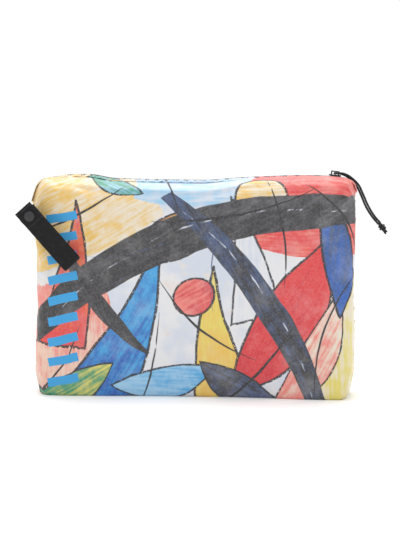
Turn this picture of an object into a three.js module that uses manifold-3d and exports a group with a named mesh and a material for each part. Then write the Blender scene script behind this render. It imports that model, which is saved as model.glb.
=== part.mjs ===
// A zipped wet bag of printed coated cloth with boxed corners, standing on its flat base.
// A webbing strap is sewn to its left side seam and snapped into a loop over the front, and a
// knotted pull cord hangs from the zipper's slider. Millimetres, +Z up, the front faces -Y.
// The origin is the middle of the footprint of the bag and its strap, without the pull cord.
// The functions build about the plane of the side seams, and the whole is moved at the end.
import * as THREE from "three";
import { mergeVertices } from "three/addons/utils/BufferGeometryUtils.js";
import Module from "manifold-3d";

const wasm = await Module();
wasm.setup();

// Body: the front and back panels
const bagWidth = 330;
const bagHeight = 228;
const bodyDepth = 66;
const frontBulge = 5;
const backBulge = 6;
const clothThickness = 1.5;
const seamGap = 0.3;
const foldDepth = 4;

// Zipper along the crest
const zipperOpening = 10;
const tapeThickness = 0.8;
const coilWidth = 4.6;
const coilHeight = 2.2;
const sliderLength = 12.5;
const sliderPlate = 1.3;
const sliderFlange = 1.5;
const sliderNeck = 2.4;
const sliderFromSeam = 21;
const sliderCorner = 2;
const flangeSetback = 2.1;
const bridgeWidth = 2.4;
const bridgeBar = 1.2;
const bridgeClearance = 2.7;
const bridgeShare = 0.7;
const runningGap = 0.5;
const coilEdge = 0.4;
const sunk = 0.2;

// Strap and its snap
const strapWidth = 20;
const strapThickness = 1.5;
const strapReach = 77;
const strapSlope = 48.5;
const strapLoopGap = 5;
const strapBend = 3;
const strapClearance = 0.1;
const strapSeamUp = 0.75;
const strapOutreach = 4.6;
const hemRise = 15.1;
const bendFromHem = 4;
const snapDiameter = 10.7;
const snapCapHeight = 2;
const snapFromHem = 11;

// Pull cord
const cordDiameter = 2;
const cordSides = 8;
const cordSteps = 26;
const knotLength = 8.5;
const knotWidth = 7;
const tailLength = 6;

const black = 0x1a1a1c;
const clothFront = new THREE.MeshStandardMaterial({ color: 0xd9c9b8, roughness: 0.6, metalness: 0 });
const clothBack = new THREE.MeshStandardMaterial({ color: 0xcfc4bc, roughness: 0.6, metalness: 0 });
const tapeCloth = new THREE.MeshStandardMaterial({ color: black, roughness: 0.85, metalness: 0 });
const coilPlastic = new THREE.MeshStandardMaterial({ color: black, roughness: 0.5, metalness: 0 });
const sliderMetal = new THREE.MeshStandardMaterial({ color: black, roughness: 0.4, metalness: 0.8 });
const webbing = new THREE.MeshStandardMaterial({ color: black, roughness: 0.9, metalness: 0 });
const snapPlastic = new THREE.MeshStandardMaterial({ color: 0x202124, roughness: 0.45, metalness: 0 });
const cordNylon = new THREE.MeshStandardMaterial({ color: 0x141416, roughness: 0.8, metalness: 0 });

// How a panel wraps from the middle of its face (ring 0) to its seams (ring 1):
// reach is the share of the way out to the edge of the face, wall the share of the way from
// that edge to the seam, depth the share of half the body's depth, and lift the share of the
// sill's height by which the base is raised.
const rings = [
  { ring: 0.0, reach: 0.0, wall: 0.0, depth: 1.0, lift: 1.0 },
  { ring: 0.35, reach: 0.46, wall: 0.0, depth: 1.0, lift: 1.0 },
  { ring: 0.7, reach: 0.9, wall: 0.0, depth: 0.985, lift: 1.0 },
  { ring: 0.76, reach: 0.955, wall: 0.03, depth: 0.945, lift: 1.0 },
  { ring: 0.82, reach: 0.99, wall: 0.13, depth: 0.84, lift: 0.8 },
  { ring: 0.88, reach: 1.0, wall: 0.38, depth: 0.62, lift: 0.4 },
  { ring: 0.94, reach: 1.0, wall: 0.72, depth: 0.32, lift: 0.0 },
  { ring: 1.0, reach: 1.0, wall: 1.0, depth: 0.0, lift: 0.0 },
];

// Side outlines from the lower boxed corner (at -1) to the upper one (at 1), as shares of half
// the width: seam where the side seam runs, edge where the side wall turns into the face.
const leftOutline = [
  { at: -1.0, seam: 1.022, edge: 0.985 },
  { at: -0.86, seam: 1.004, edge: 0.985 },
  { at: -0.5, seam: 0.988, edge: 0.972 },
  { at: -0.1, seam: 0.983, edge: 0.966 },
  { at: 0.26, seam: 0.987, edge: 0.967 },
  { at: 0.5, seam: 1.0, edge: 0.978 },
  { at: 0.8, seam: 1.012, edge: 0.98 },
  { at: 1.0, seam: 1.025, edge: 0.95 },
];
const rightOutline = [
  { at: -1.0, seam: 0.998, edge: 0.98 },
  { at: -0.85, seam: 1.004, edge: 0.99 },
  { at: -0.55, seam: 1.005, edge: 0.99 },
  { at: -0.1, seam: 0.997, edge: 0.983 },
  { at: 0.2, seam: 0.99, edge: 0.972 },
  { at: 0.45, seam: 0.998, edge: 0.98 },
  { at: 0.7, seam: 1.0, edge: 0.982 },
  { at: 0.9, seam: 0.998, edge: 0.975 },
  { at: 1.0, seam: 1.01, edge: 0.96 },
];

// Along the width from the left seam (at -1) to the right seam (at 1), as shares of the height:
// crest is the zipper's line, crease the edge between the top band and the face, floor the
// base's line and sill the height of the base's front and back edges. front and back are the
// body's depth there as shares of half the depth.
const lengthwise = [
  { at: -1.0, crest: 0.885, crease: 0.85, floor: 0.1, sill: 0.0, front: 0.88, back: 0.86 },
  { at: -0.985, crest: 0.922, crease: 0.885, floor: 0.045, sill: 0.0, front: 0.91, back: 0.88 },
  { at: -0.96, crest: 0.962, crease: 0.92, floor: 0.006, sill: 0.0, front: 0.95, back: 0.92 },
  { at: -0.93, crest: 0.981, crease: 0.943, floor: 0.0, sill: 0.0, front: 0.98, back: 0.95 },
  { at: -0.86, crest: 0.9885, crease: 0.943, floor: 0.0, sill: 0.0, front: 1.02, back: 0.98 },
  { at: -0.77, crest: 0.998, crease: 0.937, floor: 0.0, sill: 0.002, front: 1.02, back: 1.0 },
  { at: -0.66, crest: 0.999, crease: 0.92, floor: 0.0, sill: 0.005, front: 1.0, back: 1.03 },
  { at: -0.5, crest: 0.982, crease: 0.91, floor: 0.0, sill: 0.01, front: 0.98, back: 1.03 },
  { at: -0.3, crest: 0.977, crease: 0.905, floor: 0.0, sill: 0.016, front: 0.95, back: 1.0 },
  { at: 0.05, crest: 0.974, crease: 0.896, floor: 0.0, sill: 0.021, front: 0.93, back: 0.97 },
  { at: 0.25, crest: 0.984, crease: 0.925, floor: 0.0, sill: 0.021, front: 0.96, back: 0.97 },
  { at: 0.4, crest: 0.99, crease: 0.948, floor: 0.0, sill: 0.016, front: 1.0, back: 1.0 },
  { at: 0.7, crest: 0.997, crease: 0.965, floor: 0.0, sill: 0.0, front: 1.1, back: 1.03 },
  { at: 0.85, crest: 0.994, crease: 0.965, floor: 0.0, sill: 0.0, front: 1.16, back: 1.0 },
  { at: 0.95, crest: 0.983, crease: 0.948, floor: 0.002, sill: 0.0, front: 1.12, back: 0.94 },
  { at: 0.98, crest: 0.971, crease: 0.935, floor: 0.022, sill: 0.0, front: 1.04, back: 0.9 },
  { at: 1.0, crest: 0.938, crease: 0.905, floor: 0.09, sill: 0.0, front: 0.96, back: 0.86 },
];

// Folds and dents of a face: a line from one place to another, with across and up running from
// -1 to 1 over the panel, its width as a share of the height and its rise as a share of
// foldDepth, negative for a dent.
const frontFolds = [
  { across: -0.9, up: 0.9, toAcross: -0.52, toUp: 0.42, width: 0.05, rise: -0.5 },
  { across: -0.86, up: 0.35, toAcross: -0.84, toUp: -0.5, width: 0.045, rise: -0.45 },
  { across: -0.93, up: -0.93, toAcross: -0.58, toUp: -0.5, width: 0.05, rise: -0.55 },
  { across: -0.45, up: 0.78, toAcross: 0.2, toUp: 0.72, width: 0.05, rise: -0.4 },
  { across: 0.92, up: 0.88, toAcross: 0.5, toUp: 0.15, width: 0.055, rise: -0.75 },
  { across: 0.9, up: 0.12, toAcross: 0.66, toUp: 0.02, width: 0.05, rise: -0.55 },
  { across: 0.86, up: -0.1, toAcross: 0.84, toUp: -0.6, width: 0.05, rise: 0.4 },
  { across: 0.94, up: -0.92, toAcross: 0.6, toUp: -0.45, width: 0.055, rise: -0.8 },
  { across: -0.3, up: -0.8, toAcross: 0.35, toUp: -0.76, width: 0.06, rise: -0.35 },
];
const backFolds = [
  { across: -0.92, up: 0.9, toAcross: -0.5, toUp: 0.35, width: 0.055, rise: -0.6 },
  { across: 0.92, up: 0.9, toAcross: 0.55, toUp: 0.4, width: 0.055, rise: -0.6 },
  { across: -0.93, up: -0.92, toAcross: -0.55, toUp: -0.45, width: 0.055, rise: -0.6 },
  { across: 0.93, up: -0.92, toAcross: 0.6, toUp: -0.5, width: 0.055, rise: -0.6 },
  { across: -0.4, up: 0.74, toAcross: 0.4, toUp: 0.78, width: 0.06, rise: -0.5 },
];

// Where the grid of a panel has its lines, close together where it wraps round to the seams
const wallLines = [0.7, 0.76, 0.82, 0.88, 0.94, 0.985, 1.0];
const faceColumns = 18;
const faceRows = 13;

// One column of a table at a given place, as a smooth curve that never overshoots its rows
function along(rows, key, column, place) {
  const last = rows.length - 1;
  const at = THREE.MathUtils.clamp(place, rows[0][key], rows[last][key]);
  let i = 0;
  while (i < last - 1 && at > rows[i + 1][key]) i += 1;
  const slope = (j) => (rows[j + 1][column] - rows[j][column]) / (rows[j + 1][key] - rows[j][key]);
  const tangent = (j) => {
    if (j === 0 || j === last) return slope(Math.min(j, last - 1));
    const before = slope(j - 1);
    const after = slope(j);
    if (before * after <= 0) return 0;
    return (2 * before * after) / (before + after);
  };
  const span = rows[i + 1][key] - rows[i][key];
  const t = (at - rows[i][key]) / span;
  const start = rows[i][column] * (1 + 2 * t) * (1 - t) ** 2 + span * tangent(i) * t * (1 - t) ** 2;
  const end = rows[i + 1][column] * t * t * (3 - 2 * t) - span * tangent(i + 1) * t * t * (1 - t);
  return start + end;
}

// The rise of all the folds at one place of a face
function foldRise(folds, across, up) {
  let rise = 0;
  const here = new THREE.Vector2((across * bagWidth) / 2, (up * bagHeight) / 2);
  for (const fold of folds) {
    const from = new THREE.Vector2((fold.across * bagWidth) / 2, (fold.up * bagHeight) / 2);
    const line = new THREE.Vector2((fold.toAcross * bagWidth) / 2, (fold.toUp * bagHeight) / 2).sub(from);
    const share = THREE.MathUtils.clamp(here.clone().sub(from).dot(line) / line.lengthSq(), 0, 1);
    const away = here.distanceTo(from.clone().addScaledVector(line, share));
    const taper = 0.35 + 0.65 * Math.sin(Math.PI * share);
    rise += fold.rise * foldDepth * taper * Math.exp(-((away / (fold.width * bagHeight)) ** 2));
  }
  return rise;
}

const front = { facing: -1, depthColumn: "front", bulge: frontBulge, folds: frontFolds };
const back = { facing: 1, depthColumn: "back", bulge: backBulge, folds: backFolds };

// A point of a panel. across runs from -1 at the left seam to 1 at the right one, up from -1 at
// the base's middle line to 1 at the zipper, and inset is the distance inside the outer face.
function panelPoint(panel, across, up, inset) {
  const ring = Math.max(Math.abs(across), Math.abs(up), 1e-6);
  const a = across / ring;
  const b = up / ring;
  const reach = along(rings, "ring", "reach", ring);
  const wall = along(rings, "ring", "wall", ring);
  const depth = along(rings, "ring", "depth", ring);

  const outline = across < 0 ? leftOutline : rightOutline;
  const edge = (along(outline, "at", "edge", b) * bagWidth) / 2 - inset;
  const seam = (along(outline, "at", "seam", b) * bagWidth) / 2 - inset;
  const x = a * (edge * reach + (seam - edge) * wall);

  const middle = bagHeight / 2;
  const crease = along(lengthwise, "at", "crease", a) * bagHeight - inset - middle;
  const crest = along(lengthwise, "at", "crest", a) * bagHeight - inset - middle;
  const lift = along(lengthwise, "at", "sill", a) * along(rings, "ring", "lift", ring);
  const base = middle - (along(lengthwise, "at", "floor", a) + lift) * bagHeight - inset;
  const z = middle + b * (b > 0 ? crease * reach + (crest - crease) * wall : base * reach);

  const halfDepth = (along(lengthwise, "at", panel.depthColumn, across) * bodyDepth) / 2;
  const opening = THREE.MathUtils.smoothstep(b, 0.94, 1) * (zipperOpening - seamGap) / 2;
  const swell = panel.bulge * (1 - across ** 2) * (1 - up ** 2);
  const relief = foldRise(panel.folds, across, up) * THREE.MathUtils.smoothstep(1 - ring, 0, 0.25);
  const y = seamGap / 2 + opening + (halfDepth - opening - inset) * depth + swell + relief;
  return new THREE.Vector3(x, panel.facing * y, z);
}

// A closed solid between an outer and an inner grid of points. Rows then columns of the outer
// grid turn counterclockwise about the outward direction. Its quads are split toward the corners
// of the grid, whose middle column is given where the grid is a part of a larger one.
function sheetSolid(outer, inner, middleColumn = (outer[0].length - 1) / 2) {
  const rows = outer.length;
  const columns = outer[0].length;
  const points = [...outer.flat(), ...inner.flat()];
  const outside = (i, j) => i * columns + j;
  const inside = (i, j) => rows * columns + i * columns + j;
  const triangles = [];
  for (let i = 0; i < rows - 1; i += 1) {
    for (let j = 0; j < columns - 1; j += 1) {
      const rising = (i + 0.5 - (rows - 1) / 2) * (j + 0.5 - middleColumn) > 0;
      for (const at of [outside, inside]) {
        const [p, q, r, s] = [at(i, j), at(i + 1, j), at(i + 1, j + 1), at(i, j + 1)];
        const pair = rising ? [p, q, r, p, r, s] : [p, q, s, q, r, s];
        triangles.push(...(at === outside ? pair : pair.reverse()));
      }
    }
  }
  const rim = [];
  for (let i = 0; i < rows - 1; i += 1) rim.push([i, 0]);
  for (let j = 0; j < columns - 1; j += 1) rim.push([rows - 1, j]);
  for (let i = rows - 1; i > 0; i -= 1) rim.push([i, columns - 1]);
  for (let j = columns - 1; j > 0; j -= 1) rim.push([0, j]);
  rim.forEach(([i, j], n) => {
    const [k, l] = rim[(n + 1) % rim.length];
    triangles.push(outside(i, j), inside(i, j), inside(k, l));
    triangles.push(outside(i, j), inside(k, l), outside(k, l));
  });
  const geometry = new THREE.BufferGeometry().setFromPoints(points);
  geometry.setIndex(triangles);
  geometry.computeVertexNormals();
  return geometry;
}

// Joining of closed solids
function toManifold(geometry) {
  const bare = geometry.index ? geometry.clone() : mergeVertices(geometry);
  bare.deleteAttribute("normal");
  bare.deleteAttribute("uv");
  const merged = mergeVertices(bare, 1e-4);
  const vertProperties = new Float32Array(merged.attributes.position.array);
  return new wasm.Manifold(new wasm.Mesh({
    numProp: 3,
    vertProperties,
    triVerts: new Uint32Array(merged.index.array),
  }));
}

function joined(geometries) {
  const mesh = geometries.map(toManifold).reduce((sum, solid) => sum.add(solid)).getMesh();
  const geometry = new THREE.BufferGeometry();
  geometry.setAttribute("position", new THREE.BufferAttribute(mesh.vertProperties, 3));
  geometry.setIndex(new THREE.BufferAttribute(mesh.triVerts, 1));
  geometry.computeVertexNormals();
  return geometry;
}

function named(name, geometry, material) {
  const mesh = new THREE.Mesh(geometry, material);
  mesh.name = name;
  return mesh;
}

// Body
function gridLines(faceCount) {
  const limit = wallLines[0];
  const face = Array.from({ length: faceCount - 1 }, (_, i) => limit * ((2 * (i + 1)) / faceCount - 1));
  return [...wallLines.map((line) => -line).reverse(), ...face, ...wallLines];
}

function panelSolid(panel) {
  const across = gridLines(faceColumns);
  const up = gridLines(faceRows);
  if (panel.facing > 0) across.reverse();
  const grid = (inset) => across.map((a) => up.map((b) => panelPoint(panel, a, b, inset)));
  return sheetSolid(grid(0), grid(clothThickness));
}

// Zipper. Each tape lies under the edge of its panel and reaches in to the middle of the crest.
const tapeInset = clothThickness + seamGap;
const sliderX = bagWidth / 2 - sliderFromSeam;
const neckEnd = sliderX + sliderLength / 2 - 1;
const neckStart = neckEnd - sliderNeck;

const tapeStations = gridLines(faceColumns).slice(1, -1);
const tapeLine = tapeStations.map((across) => panelPoint(front, across, 1, tapeInset));

// The height of the tapes' top over one place along the zipper
function tapeTop(x) {
  const after = tapeLine.findIndex((point) => point.x > x);
  const [start, end] = [tapeLine[after - 1], tapeLine[after]];
  return THREE.MathUtils.mapLinear(x, start.x, end.x, start.z, end.z);
}

function tapeEdge(x) {
  const spread = THREE.MathUtils.smoothstep(x, neckStart - sliderLength / 2, neckStart - 1);
  return seamGap / 2 + spread * (sliderNeck / 2 + runningGap - seamGap / 2);
}

function tapeSolid(panel) {
  const stations = panel.facing > 0 ? [...tapeStations].reverse() : tapeStations;
  const grid = (inset) => stations.map((across) => {
    const covered = wallLines.slice(-3).map((up) => panelPoint(panel, across, up, inset));
    const rim = covered.at(-1);
    const edge = new THREE.Vector3(rim.x, panel.facing * tapeEdge(rim.x), rim.z);
    return [...covered, edge];
  });
  return sheetSolid(grid(tapeInset), grid(tapeInset + tapeThickness), -1);
}

function coilSolid() {
  const end = neckStart - runningGap;
  const stations = [...tapeLine.map((point) => point.x).filter((x) => x < end - 1).slice(1), end];
  const arc = 6;
  const outer = [];
  const inner = [];
  for (const x of stations) {
    const seat = tapeTop(x) + seamGap;
    const angles = Array.from({ length: arc + 1 }, (_, j) => (Math.PI * j) / arc);
    const flat = (turn) => (-Math.cos(turn) * coilWidth) / 2;
    outer.push(angles.map((turn) => (
      new THREE.Vector3(x, flat(turn), seat + coilEdge + Math.sin(turn) * (coilHeight - coilEdge)))));
    inner.push(angles.map((turn) => new THREE.Vector3(x, flat(turn), seat)));
  }
  return sheetSolid(outer, inner);
}

// The slider's own frame: X along the zipper, Z up from the tape's top
const plateUnder = seamGap + coilHeight + runningGap;
const plateTop = plateUnder + sliderPlate;
const sliderWidth = coilWidth + 2 * (runningGap + sliderFlange);
const cordSeat = plateTop + seamGap + cordDiameter / 2;

function block(length, width, height, x, y, z) {
  return new THREE.BoxGeometry(length, width, height).translate(x, y, z + height / 2);
}

function plateShape() {
  const half = sliderLength / 2;
  const wide = sliderWidth / 2;
  const round = sliderCorner;
  const shape = new THREE.Shape();
  shape.moveTo(-half, wide - round);
  shape.absarc(-half + round, wide - round, round, Math.PI, Math.PI / 2, true);
  shape.absarc(half - round, wide - round, round, Math.PI / 2, 0, true);
  shape.absarc(half - round, -wide + round, round, 0, -Math.PI / 2, true);
  shape.absarc(-half + round, -wide + round, round, -Math.PI / 2, -Math.PI, true);
  return shape;
}

function sliderSolid() {
  const plate = { depth: sliderPlate, bevelEnabled: false, curveSegments: 4 };
  const upper = new THREE.ExtrudeGeometry(plateShape(), plate).translate(0, 0, plateUnder);
  const lowerTop = -tapeThickness - runningGap;
  const lower = new THREE.ExtrudeGeometry(plateShape(), plate).translate(0, 0, lowerTop - sliderPlate);
  const flangeLength = sliderLength - 2 * flangeSetback;
  const flangeY = (coilWidth + sliderFlange) / 2 + runningGap;
  const flangeHeight = plateUnder + sunk - runningGap;
  const flanges = [-1, 1].map((side) => (
    block(flangeLength, sliderFlange, flangeHeight, 0, side * flangeY, runningGap)));
  const neckHeight = plateUnder - lowerTop + 2 * sunk;
  const neckX = (neckStart + neckEnd) / 2 - sliderX;
  const neck = block(sliderNeck, sliderNeck, neckHeight, neckX, 0, lowerTop - sunk);
  const archLength = sliderLength * bridgeShare;
  const archTop = plateTop + bridgeClearance;
  const post = bridgeBar + sunk;
  const postHeight = bridgeClearance + 2 * sunk;
  const posts = [-1, 1].map((end) => (
    block(post, bridgeWidth, postHeight, (end * (archLength - post)) / 2, 0, plateTop - sunk)));
  const bar = block(archLength, bridgeWidth, bridgeBar, 0, 0, archTop);
  return joined([upper, lower, ...flanges, neck, ...posts, bar]);
}

// Strap
function strapSolid(seat) {
  const turn = THREE.MathUtils.degToRad(strapSlope);
  const down = new THREE.Vector3(Math.cos(turn), 0, -Math.sin(turn));
  const wide = new THREE.Vector3(Math.sin(turn), 0, Math.cos(turn));
  const out = new THREE.Vector3(0, -1, 0);
  const upright = new THREE.Vector3(0, 0, 1);
  const frames = [];
  const add = (point, width) => frames.push({ point, width: width.clone().normalize() });

  const bendCentre = seat.hem.clone().addScaledVector(down, bendFromHem + strapBend);
  bendCentre.y = seat.innerY + strapBend;
  const bendStart = bendCentre.clone().addScaledVector(down, -strapBend);
  const seam = seat.seam;
  const root = seam.clone().add(new THREE.Vector3(-seamGap - strapClearance, 0, 0));
  const beside = (forward, risen) => {
    const height = THREE.MathUtils.lerp(seam.z, bendStart.z, risen);
    return new THREE.Vector3(seam.x - strapOutreach, bendStart.y * forward, height);
  };
  const run = new THREE.CatmullRomCurve3([
    root,
    new THREE.Vector3(seam.x - strapOutreach / 2, seam.y, seam.z),
    beside(0.3, 0.25),
    beside(0.7, 0.7),
    bendStart,
  ]);
  const runSteps = 14;
  for (let i = 0; i < runSteps; i += 1) {
    const share = i / runSteps;
    const twist = THREE.MathUtils.smoothstep(share, 0.2, 1);
    add(run.getPoint(share), upright.clone().lerp(wide, twist));
  }
  const bendSteps = 5;
  for (let i = 0; i <= bendSteps; i += 1) {
    const angle = (Math.PI / 2) * (i / bendSteps);
    const point = bendCentre.clone().addScaledVector(down, -strapBend * Math.cos(angle));
    add(point.addScaledVector(out, strapBend * Math.sin(angle)), wide);
  }
  const foldRadius = (strapLoopGap + strapThickness) / 2;
  const straight = strapReach - foldRadius - strapThickness / 2;
  const foldCentre = seat.hem.clone().addScaledVector(down, straight);
  foldCentre.y = seat.innerY - foldRadius;
  const foldSteps = 8;
  for (let i = 0; i <= foldSteps; i += 1) {
    const angle = Math.PI * (i / foldSteps);
    const point = foldCentre.clone().addScaledVector(down, foldRadius * Math.sin(angle));
    add(point.addScaledVector(out, -foldRadius * Math.cos(angle)), wide);
  }
  for (const share of [0.33, 0.66, 1]) {
    const point = foldCentre.clone().addScaledVector(out, foldRadius);
    add(point.addScaledVector(down, -straight * share), wide);
  }

  const grid = (side) => frames.map(({ point, width }, i) => {
    const before = frames[Math.max(i - 1, 0)].point;
    const after = frames[Math.min(i + 1, frames.length - 1)].point;
    const normal = after.clone().sub(before).cross(width).normalize();
    const middle = point.clone().addScaledVector(normal, (side * strapThickness) / 2);
    return [-0.5, 0, 0.5].map((share) => middle.clone().addScaledVector(width, share * strapWidth));
  });
  return sheetSolid(grid(1), grid(-1));
}

// The stretch of the face behind the strap, from -1 to 1 over the panel
const strapFrom = -0.95;
const strapTo = -0.6;
const samplingStep = 0.05;

// Where the strap sits: its seam, the middle of its hem and the plane of its inner layer,
// just in front of the most forward cloth behind it
function strapSeat() {
  const seam = panelPoint(front, -1, strapSeamUp, 0);
  seam.y = 0;
  const halfShare = strapWidth / bagHeight;
  for (const up of [strapSeamUp - halfShare, strapSeamUp + halfShare]) {
    seam.x = Math.min(seam.x, panelPoint(front, -1, up, 0).x);
  }
  let forward = 0;
  for (let across = strapFrom; across <= strapTo; across += samplingStep) {
    for (let up = 0; up <= strapSeamUp; up += samplingStep) {
      forward = Math.min(forward, panelPoint(front, across, up, 0).y);
    }
  }
  const innerY = forward - seamGap - strapThickness / 2 - strapClearance;
  const hemY = innerY - strapLoopGap - strapThickness;
  const hem = new THREE.Vector3(seam.x - strapOutreach, hemY, seam.z + hemRise);
  return { seam, hem, innerY };
}

// A snap half: a round body turned about its axis, which then points along -Y
function turned(profile) {
  const points = profile.map(([radius, height]) => new THREE.Vector2(radius, height));
  return new THREE.LatheGeometry(points, 20).rotateX(Math.PI);
}

function snapCapSolid() {
  const radius = snapDiameter / 2;
  return turned([[0, 0], [radius, 0], [radius, snapCapHeight * 0.35], [radius * 0.86, snapCapHeight * 0.75],
    [radius * 0.5, snapCapHeight], [0, snapCapHeight]]);
}

function snapStudSolid() {
  const radius = snapDiameter / 2;
  const height = strapLoopGap - 2 * seamGap;
  return turned([[0, 0], [radius * 0.9, 0], [radius * 0.9, height * 0.3], [radius * 0.55, height * 0.42],
    [radius * 0.55, height * 0.58], [radius * 0.9, height * 0.7], [radius * 0.9, height], [0, height]]);
}

// Pull cord: two strands from the slider's bridge to a knot, with places measured from the
// middle of the bridge's opening. They leave it to the front and the back and fall side by side.
const frontStrand = [
  { x: 0, y: -0.15, z: 0 },
  { x: 0.2, y: -1.8, z: 0 },
  { x: 1.4, y: -2.75, z: 0 },
  { x: 3.2, y: -2.9, z: 0 },
  { x: 5.2, y: -2.6, z: 0.1 },
  { x: 8.4, y: -1.9, z: -0.2 },
  { x: 12.8, y: -1.3, z: -1.7 },
  { x: 19, y: -0.6, z: -6 },
  { x: 24.9, y: 0, z: -12.3 },
  { x: 29.3, y: 0, z: -21.4 },
  { x: 35, y: 0, z: -34 },
  { x: 41.8, y: 0, z: -44.6 },
  { x: 47.2, y: 0, z: -50.6 },
];
const backStrand = [
  { x: 0, y: 0.15, z: 0 },
  { x: 0.2, y: 1.8, z: 0 },
  { x: 1.4, y: 2.75, z: 0 },
  { x: 3.2, y: 2.9, z: -0.1 },
  { x: 5.2, y: 2.6, z: -0.4 },
  { x: 8, y: 1.9, z: -1.2 },
  { x: 12, y: 1.3, z: -3 },
  { x: 17.4, y: 0.6, z: -7.3 },
  { x: 22.9, y: 0, z: -13.4 },
  { x: 27.2, y: 0, z: -22.4 },
  { x: 32.9, y: 0, z: -35.2 },
  { x: 39.9, y: 0, z: -45.8 },
  { x: 45.3, y: 0, z: -52 },
];
const knotPlace = { x: 49.1, y: 0, z: -55.2 };
const knotLean = Math.atan2(3.9, 2.9);

function strandSolid(strand) {
  const route = strand.map(({ x, y, z }) => new THREE.Vector3(x, y, z));
  const section = new THREE.Shape();
  for (let i = 0; i < cordSides; i += 1) {
    const angle = (2 * Math.PI * (i + 0.5)) / cordSides;
    const corner = new THREE.Vector2(Math.cos(angle), Math.sin(angle)).multiplyScalar(cordDiameter / 2);
    if (i === 0) section.moveTo(corner.x, corner.y);
    else section.lineTo(corner.x, corner.y);
  }
  section.closePath();
  const path = new THREE.CatmullRomCurve3(route);
  return new THREE.ExtrudeGeometry(section, { steps: cordSteps, extrudePath: path, bevelEnabled: false });
}

function knotSolid() {
  const lump = new THREE.SphereGeometry(0.5, 12, 8).scale(knotLength, knotWidth, knotWidth * 0.9);
  const wrap = new THREE.TorusGeometry(knotWidth * 0.36, cordDiameter * 0.55, 8, 12);
  wrap.rotateY(Math.PI / 2).rotateZ(0.35);
  const tails = [-1, 1].map((side) => {
    const tail = new THREE.CylinderGeometry(cordDiameter / 2, cordDiameter / 2, tailLength, cordSides);
    tail.rotateZ(Math.PI / 2);
    return tail.translate((knotLength + tailLength) / 2 - 1.5, 0, side * 1.15);
  });
  return joined([lump, wrap, ...tails]);
}

// The bag, and its origin moved to the middle of its base
const bag = new THREE.Group();
const slider = new THREE.Group();
const sliderEnds = [-1, 1].map((end) => sliderX + (end * sliderLength) / 2);
const sliderRise = tapeTop(sliderEnds[1]) - tapeTop(sliderEnds[0]);
slider.position.set(sliderX, 0, (tapeTop(sliderEnds[0]) + tapeTop(sliderEnds[1])) / 2);
slider.rotation.y = -Math.atan(sliderRise / sliderLength);
slider.add(named("zipper_slider", sliderSolid(), sliderMetal));

const pull = new THREE.Group();
pull.position.set(sliderX, 0, slider.position.z + cordSeat);
pull.add(named("pull_cord_front", strandSolid(frontStrand), cordNylon));
pull.add(named("pull_cord_back", strandSolid(backStrand), cordNylon));
const knot = named("pull_knot", knotSolid(), cordNylon);
knot.position.set(knotPlace.x, knotPlace.y, knotPlace.z);
knot.rotation.y = knotLean;
pull.add(knot);

const seat = strapSeat();
const snapTurn = THREE.MathUtils.degToRad(strapSlope);
const snapX = seat.hem.x + snapFromHem * Math.cos(snapTurn);
const snapZ = seat.hem.z - snapFromHem * Math.sin(snapTurn);
const cap = named("snap_cap", snapCapSolid(), snapPlastic);
cap.position.set(snapX, seat.hem.y - strapThickness / 2 - seamGap, snapZ);
const stud = named("snap_stud", snapStudSolid(), snapPlastic);
stud.position.set(snapX, seat.innerY - strapThickness / 2 - seamGap, snapZ);

bag.add(named("front_panel", panelSolid(front), clothFront));
bag.add(named("back_panel", panelSolid(back), clothBack));
bag.add(named("zipper_tape_front", tapeSolid(front), tapeCloth));
bag.add(named("zipper_tape_back", tapeSolid(back), tapeCloth));
bag.add(named("zipper_coil", coilSolid(), coilPlastic));
bag.add(slider);
bag.add(named("strap", strapSolid(seat), webbing));
bag.add(cap, stud);

const outerBox = new THREE.Box3().setFromObject(bag, true);
const middle = outerBox.getCenter(new THREE.Vector3());
bag.add(pull);
bag.position.set(-middle.x, -middle.y, 0);

export default bag;
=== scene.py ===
"""The looks of a zipped wet bag of printed coated cloth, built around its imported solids."""

import math
from collections import namedtuple

import bpy
import numpy as np
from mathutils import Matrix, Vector


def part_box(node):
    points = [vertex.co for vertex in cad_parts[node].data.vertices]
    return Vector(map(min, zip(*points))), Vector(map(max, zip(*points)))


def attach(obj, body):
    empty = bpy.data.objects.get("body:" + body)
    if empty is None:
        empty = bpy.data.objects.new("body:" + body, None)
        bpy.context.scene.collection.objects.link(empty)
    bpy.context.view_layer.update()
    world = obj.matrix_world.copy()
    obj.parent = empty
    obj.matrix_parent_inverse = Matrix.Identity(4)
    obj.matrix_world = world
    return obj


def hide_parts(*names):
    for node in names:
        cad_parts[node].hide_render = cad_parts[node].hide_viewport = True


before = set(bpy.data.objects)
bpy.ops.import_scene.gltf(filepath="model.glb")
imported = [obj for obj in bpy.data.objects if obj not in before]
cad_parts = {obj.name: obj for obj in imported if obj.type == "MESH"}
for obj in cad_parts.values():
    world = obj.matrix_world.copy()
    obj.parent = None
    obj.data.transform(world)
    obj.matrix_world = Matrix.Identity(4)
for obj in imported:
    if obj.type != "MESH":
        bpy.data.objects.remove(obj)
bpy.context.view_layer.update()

# Sizes in metres, counts and shares
BAG_WIDTH = 0.330
BAG_HEIGHT = 0.228
BODY_DEPTH = 0.066
FRONT_BULGE = 0.005
BACK_BULGE = 0.006
FOLD_DEPTH = 0.004
FOLD_ENDS = 0.35
FOLD_FADE = 0.25
SEAM_GAP = 0.0003
ZIPPER_OPENING = 0.010
OPENING_FROM = 0.94
CLOTH_WALL = 0.0015
CLOTH_THICKNESS = 0.0005
CLOTH_STEP = 0.0018
FACE_SHARE = 0.7
WALL_STEPS = 20
WALL_SHARES = 100
WALL_RINGS = 60
SEAM_ALLOWANCE = 0.0025
ZIPPER_HEM = 0.006
ZIPPER_HEM_DROP = 0.0016
FLOOR_CLEARANCE = 0.0006
SETTLE_FRAMES = 24
SETTLE_GRAVITY = 0.15
SETTLE_MOST = 0.004
HELD_LINES = 6
CORD_DIAMETER = 0.002
STRAP_WIDTH = 0.020
STRAP_THICKNESS = 0.0014
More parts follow.
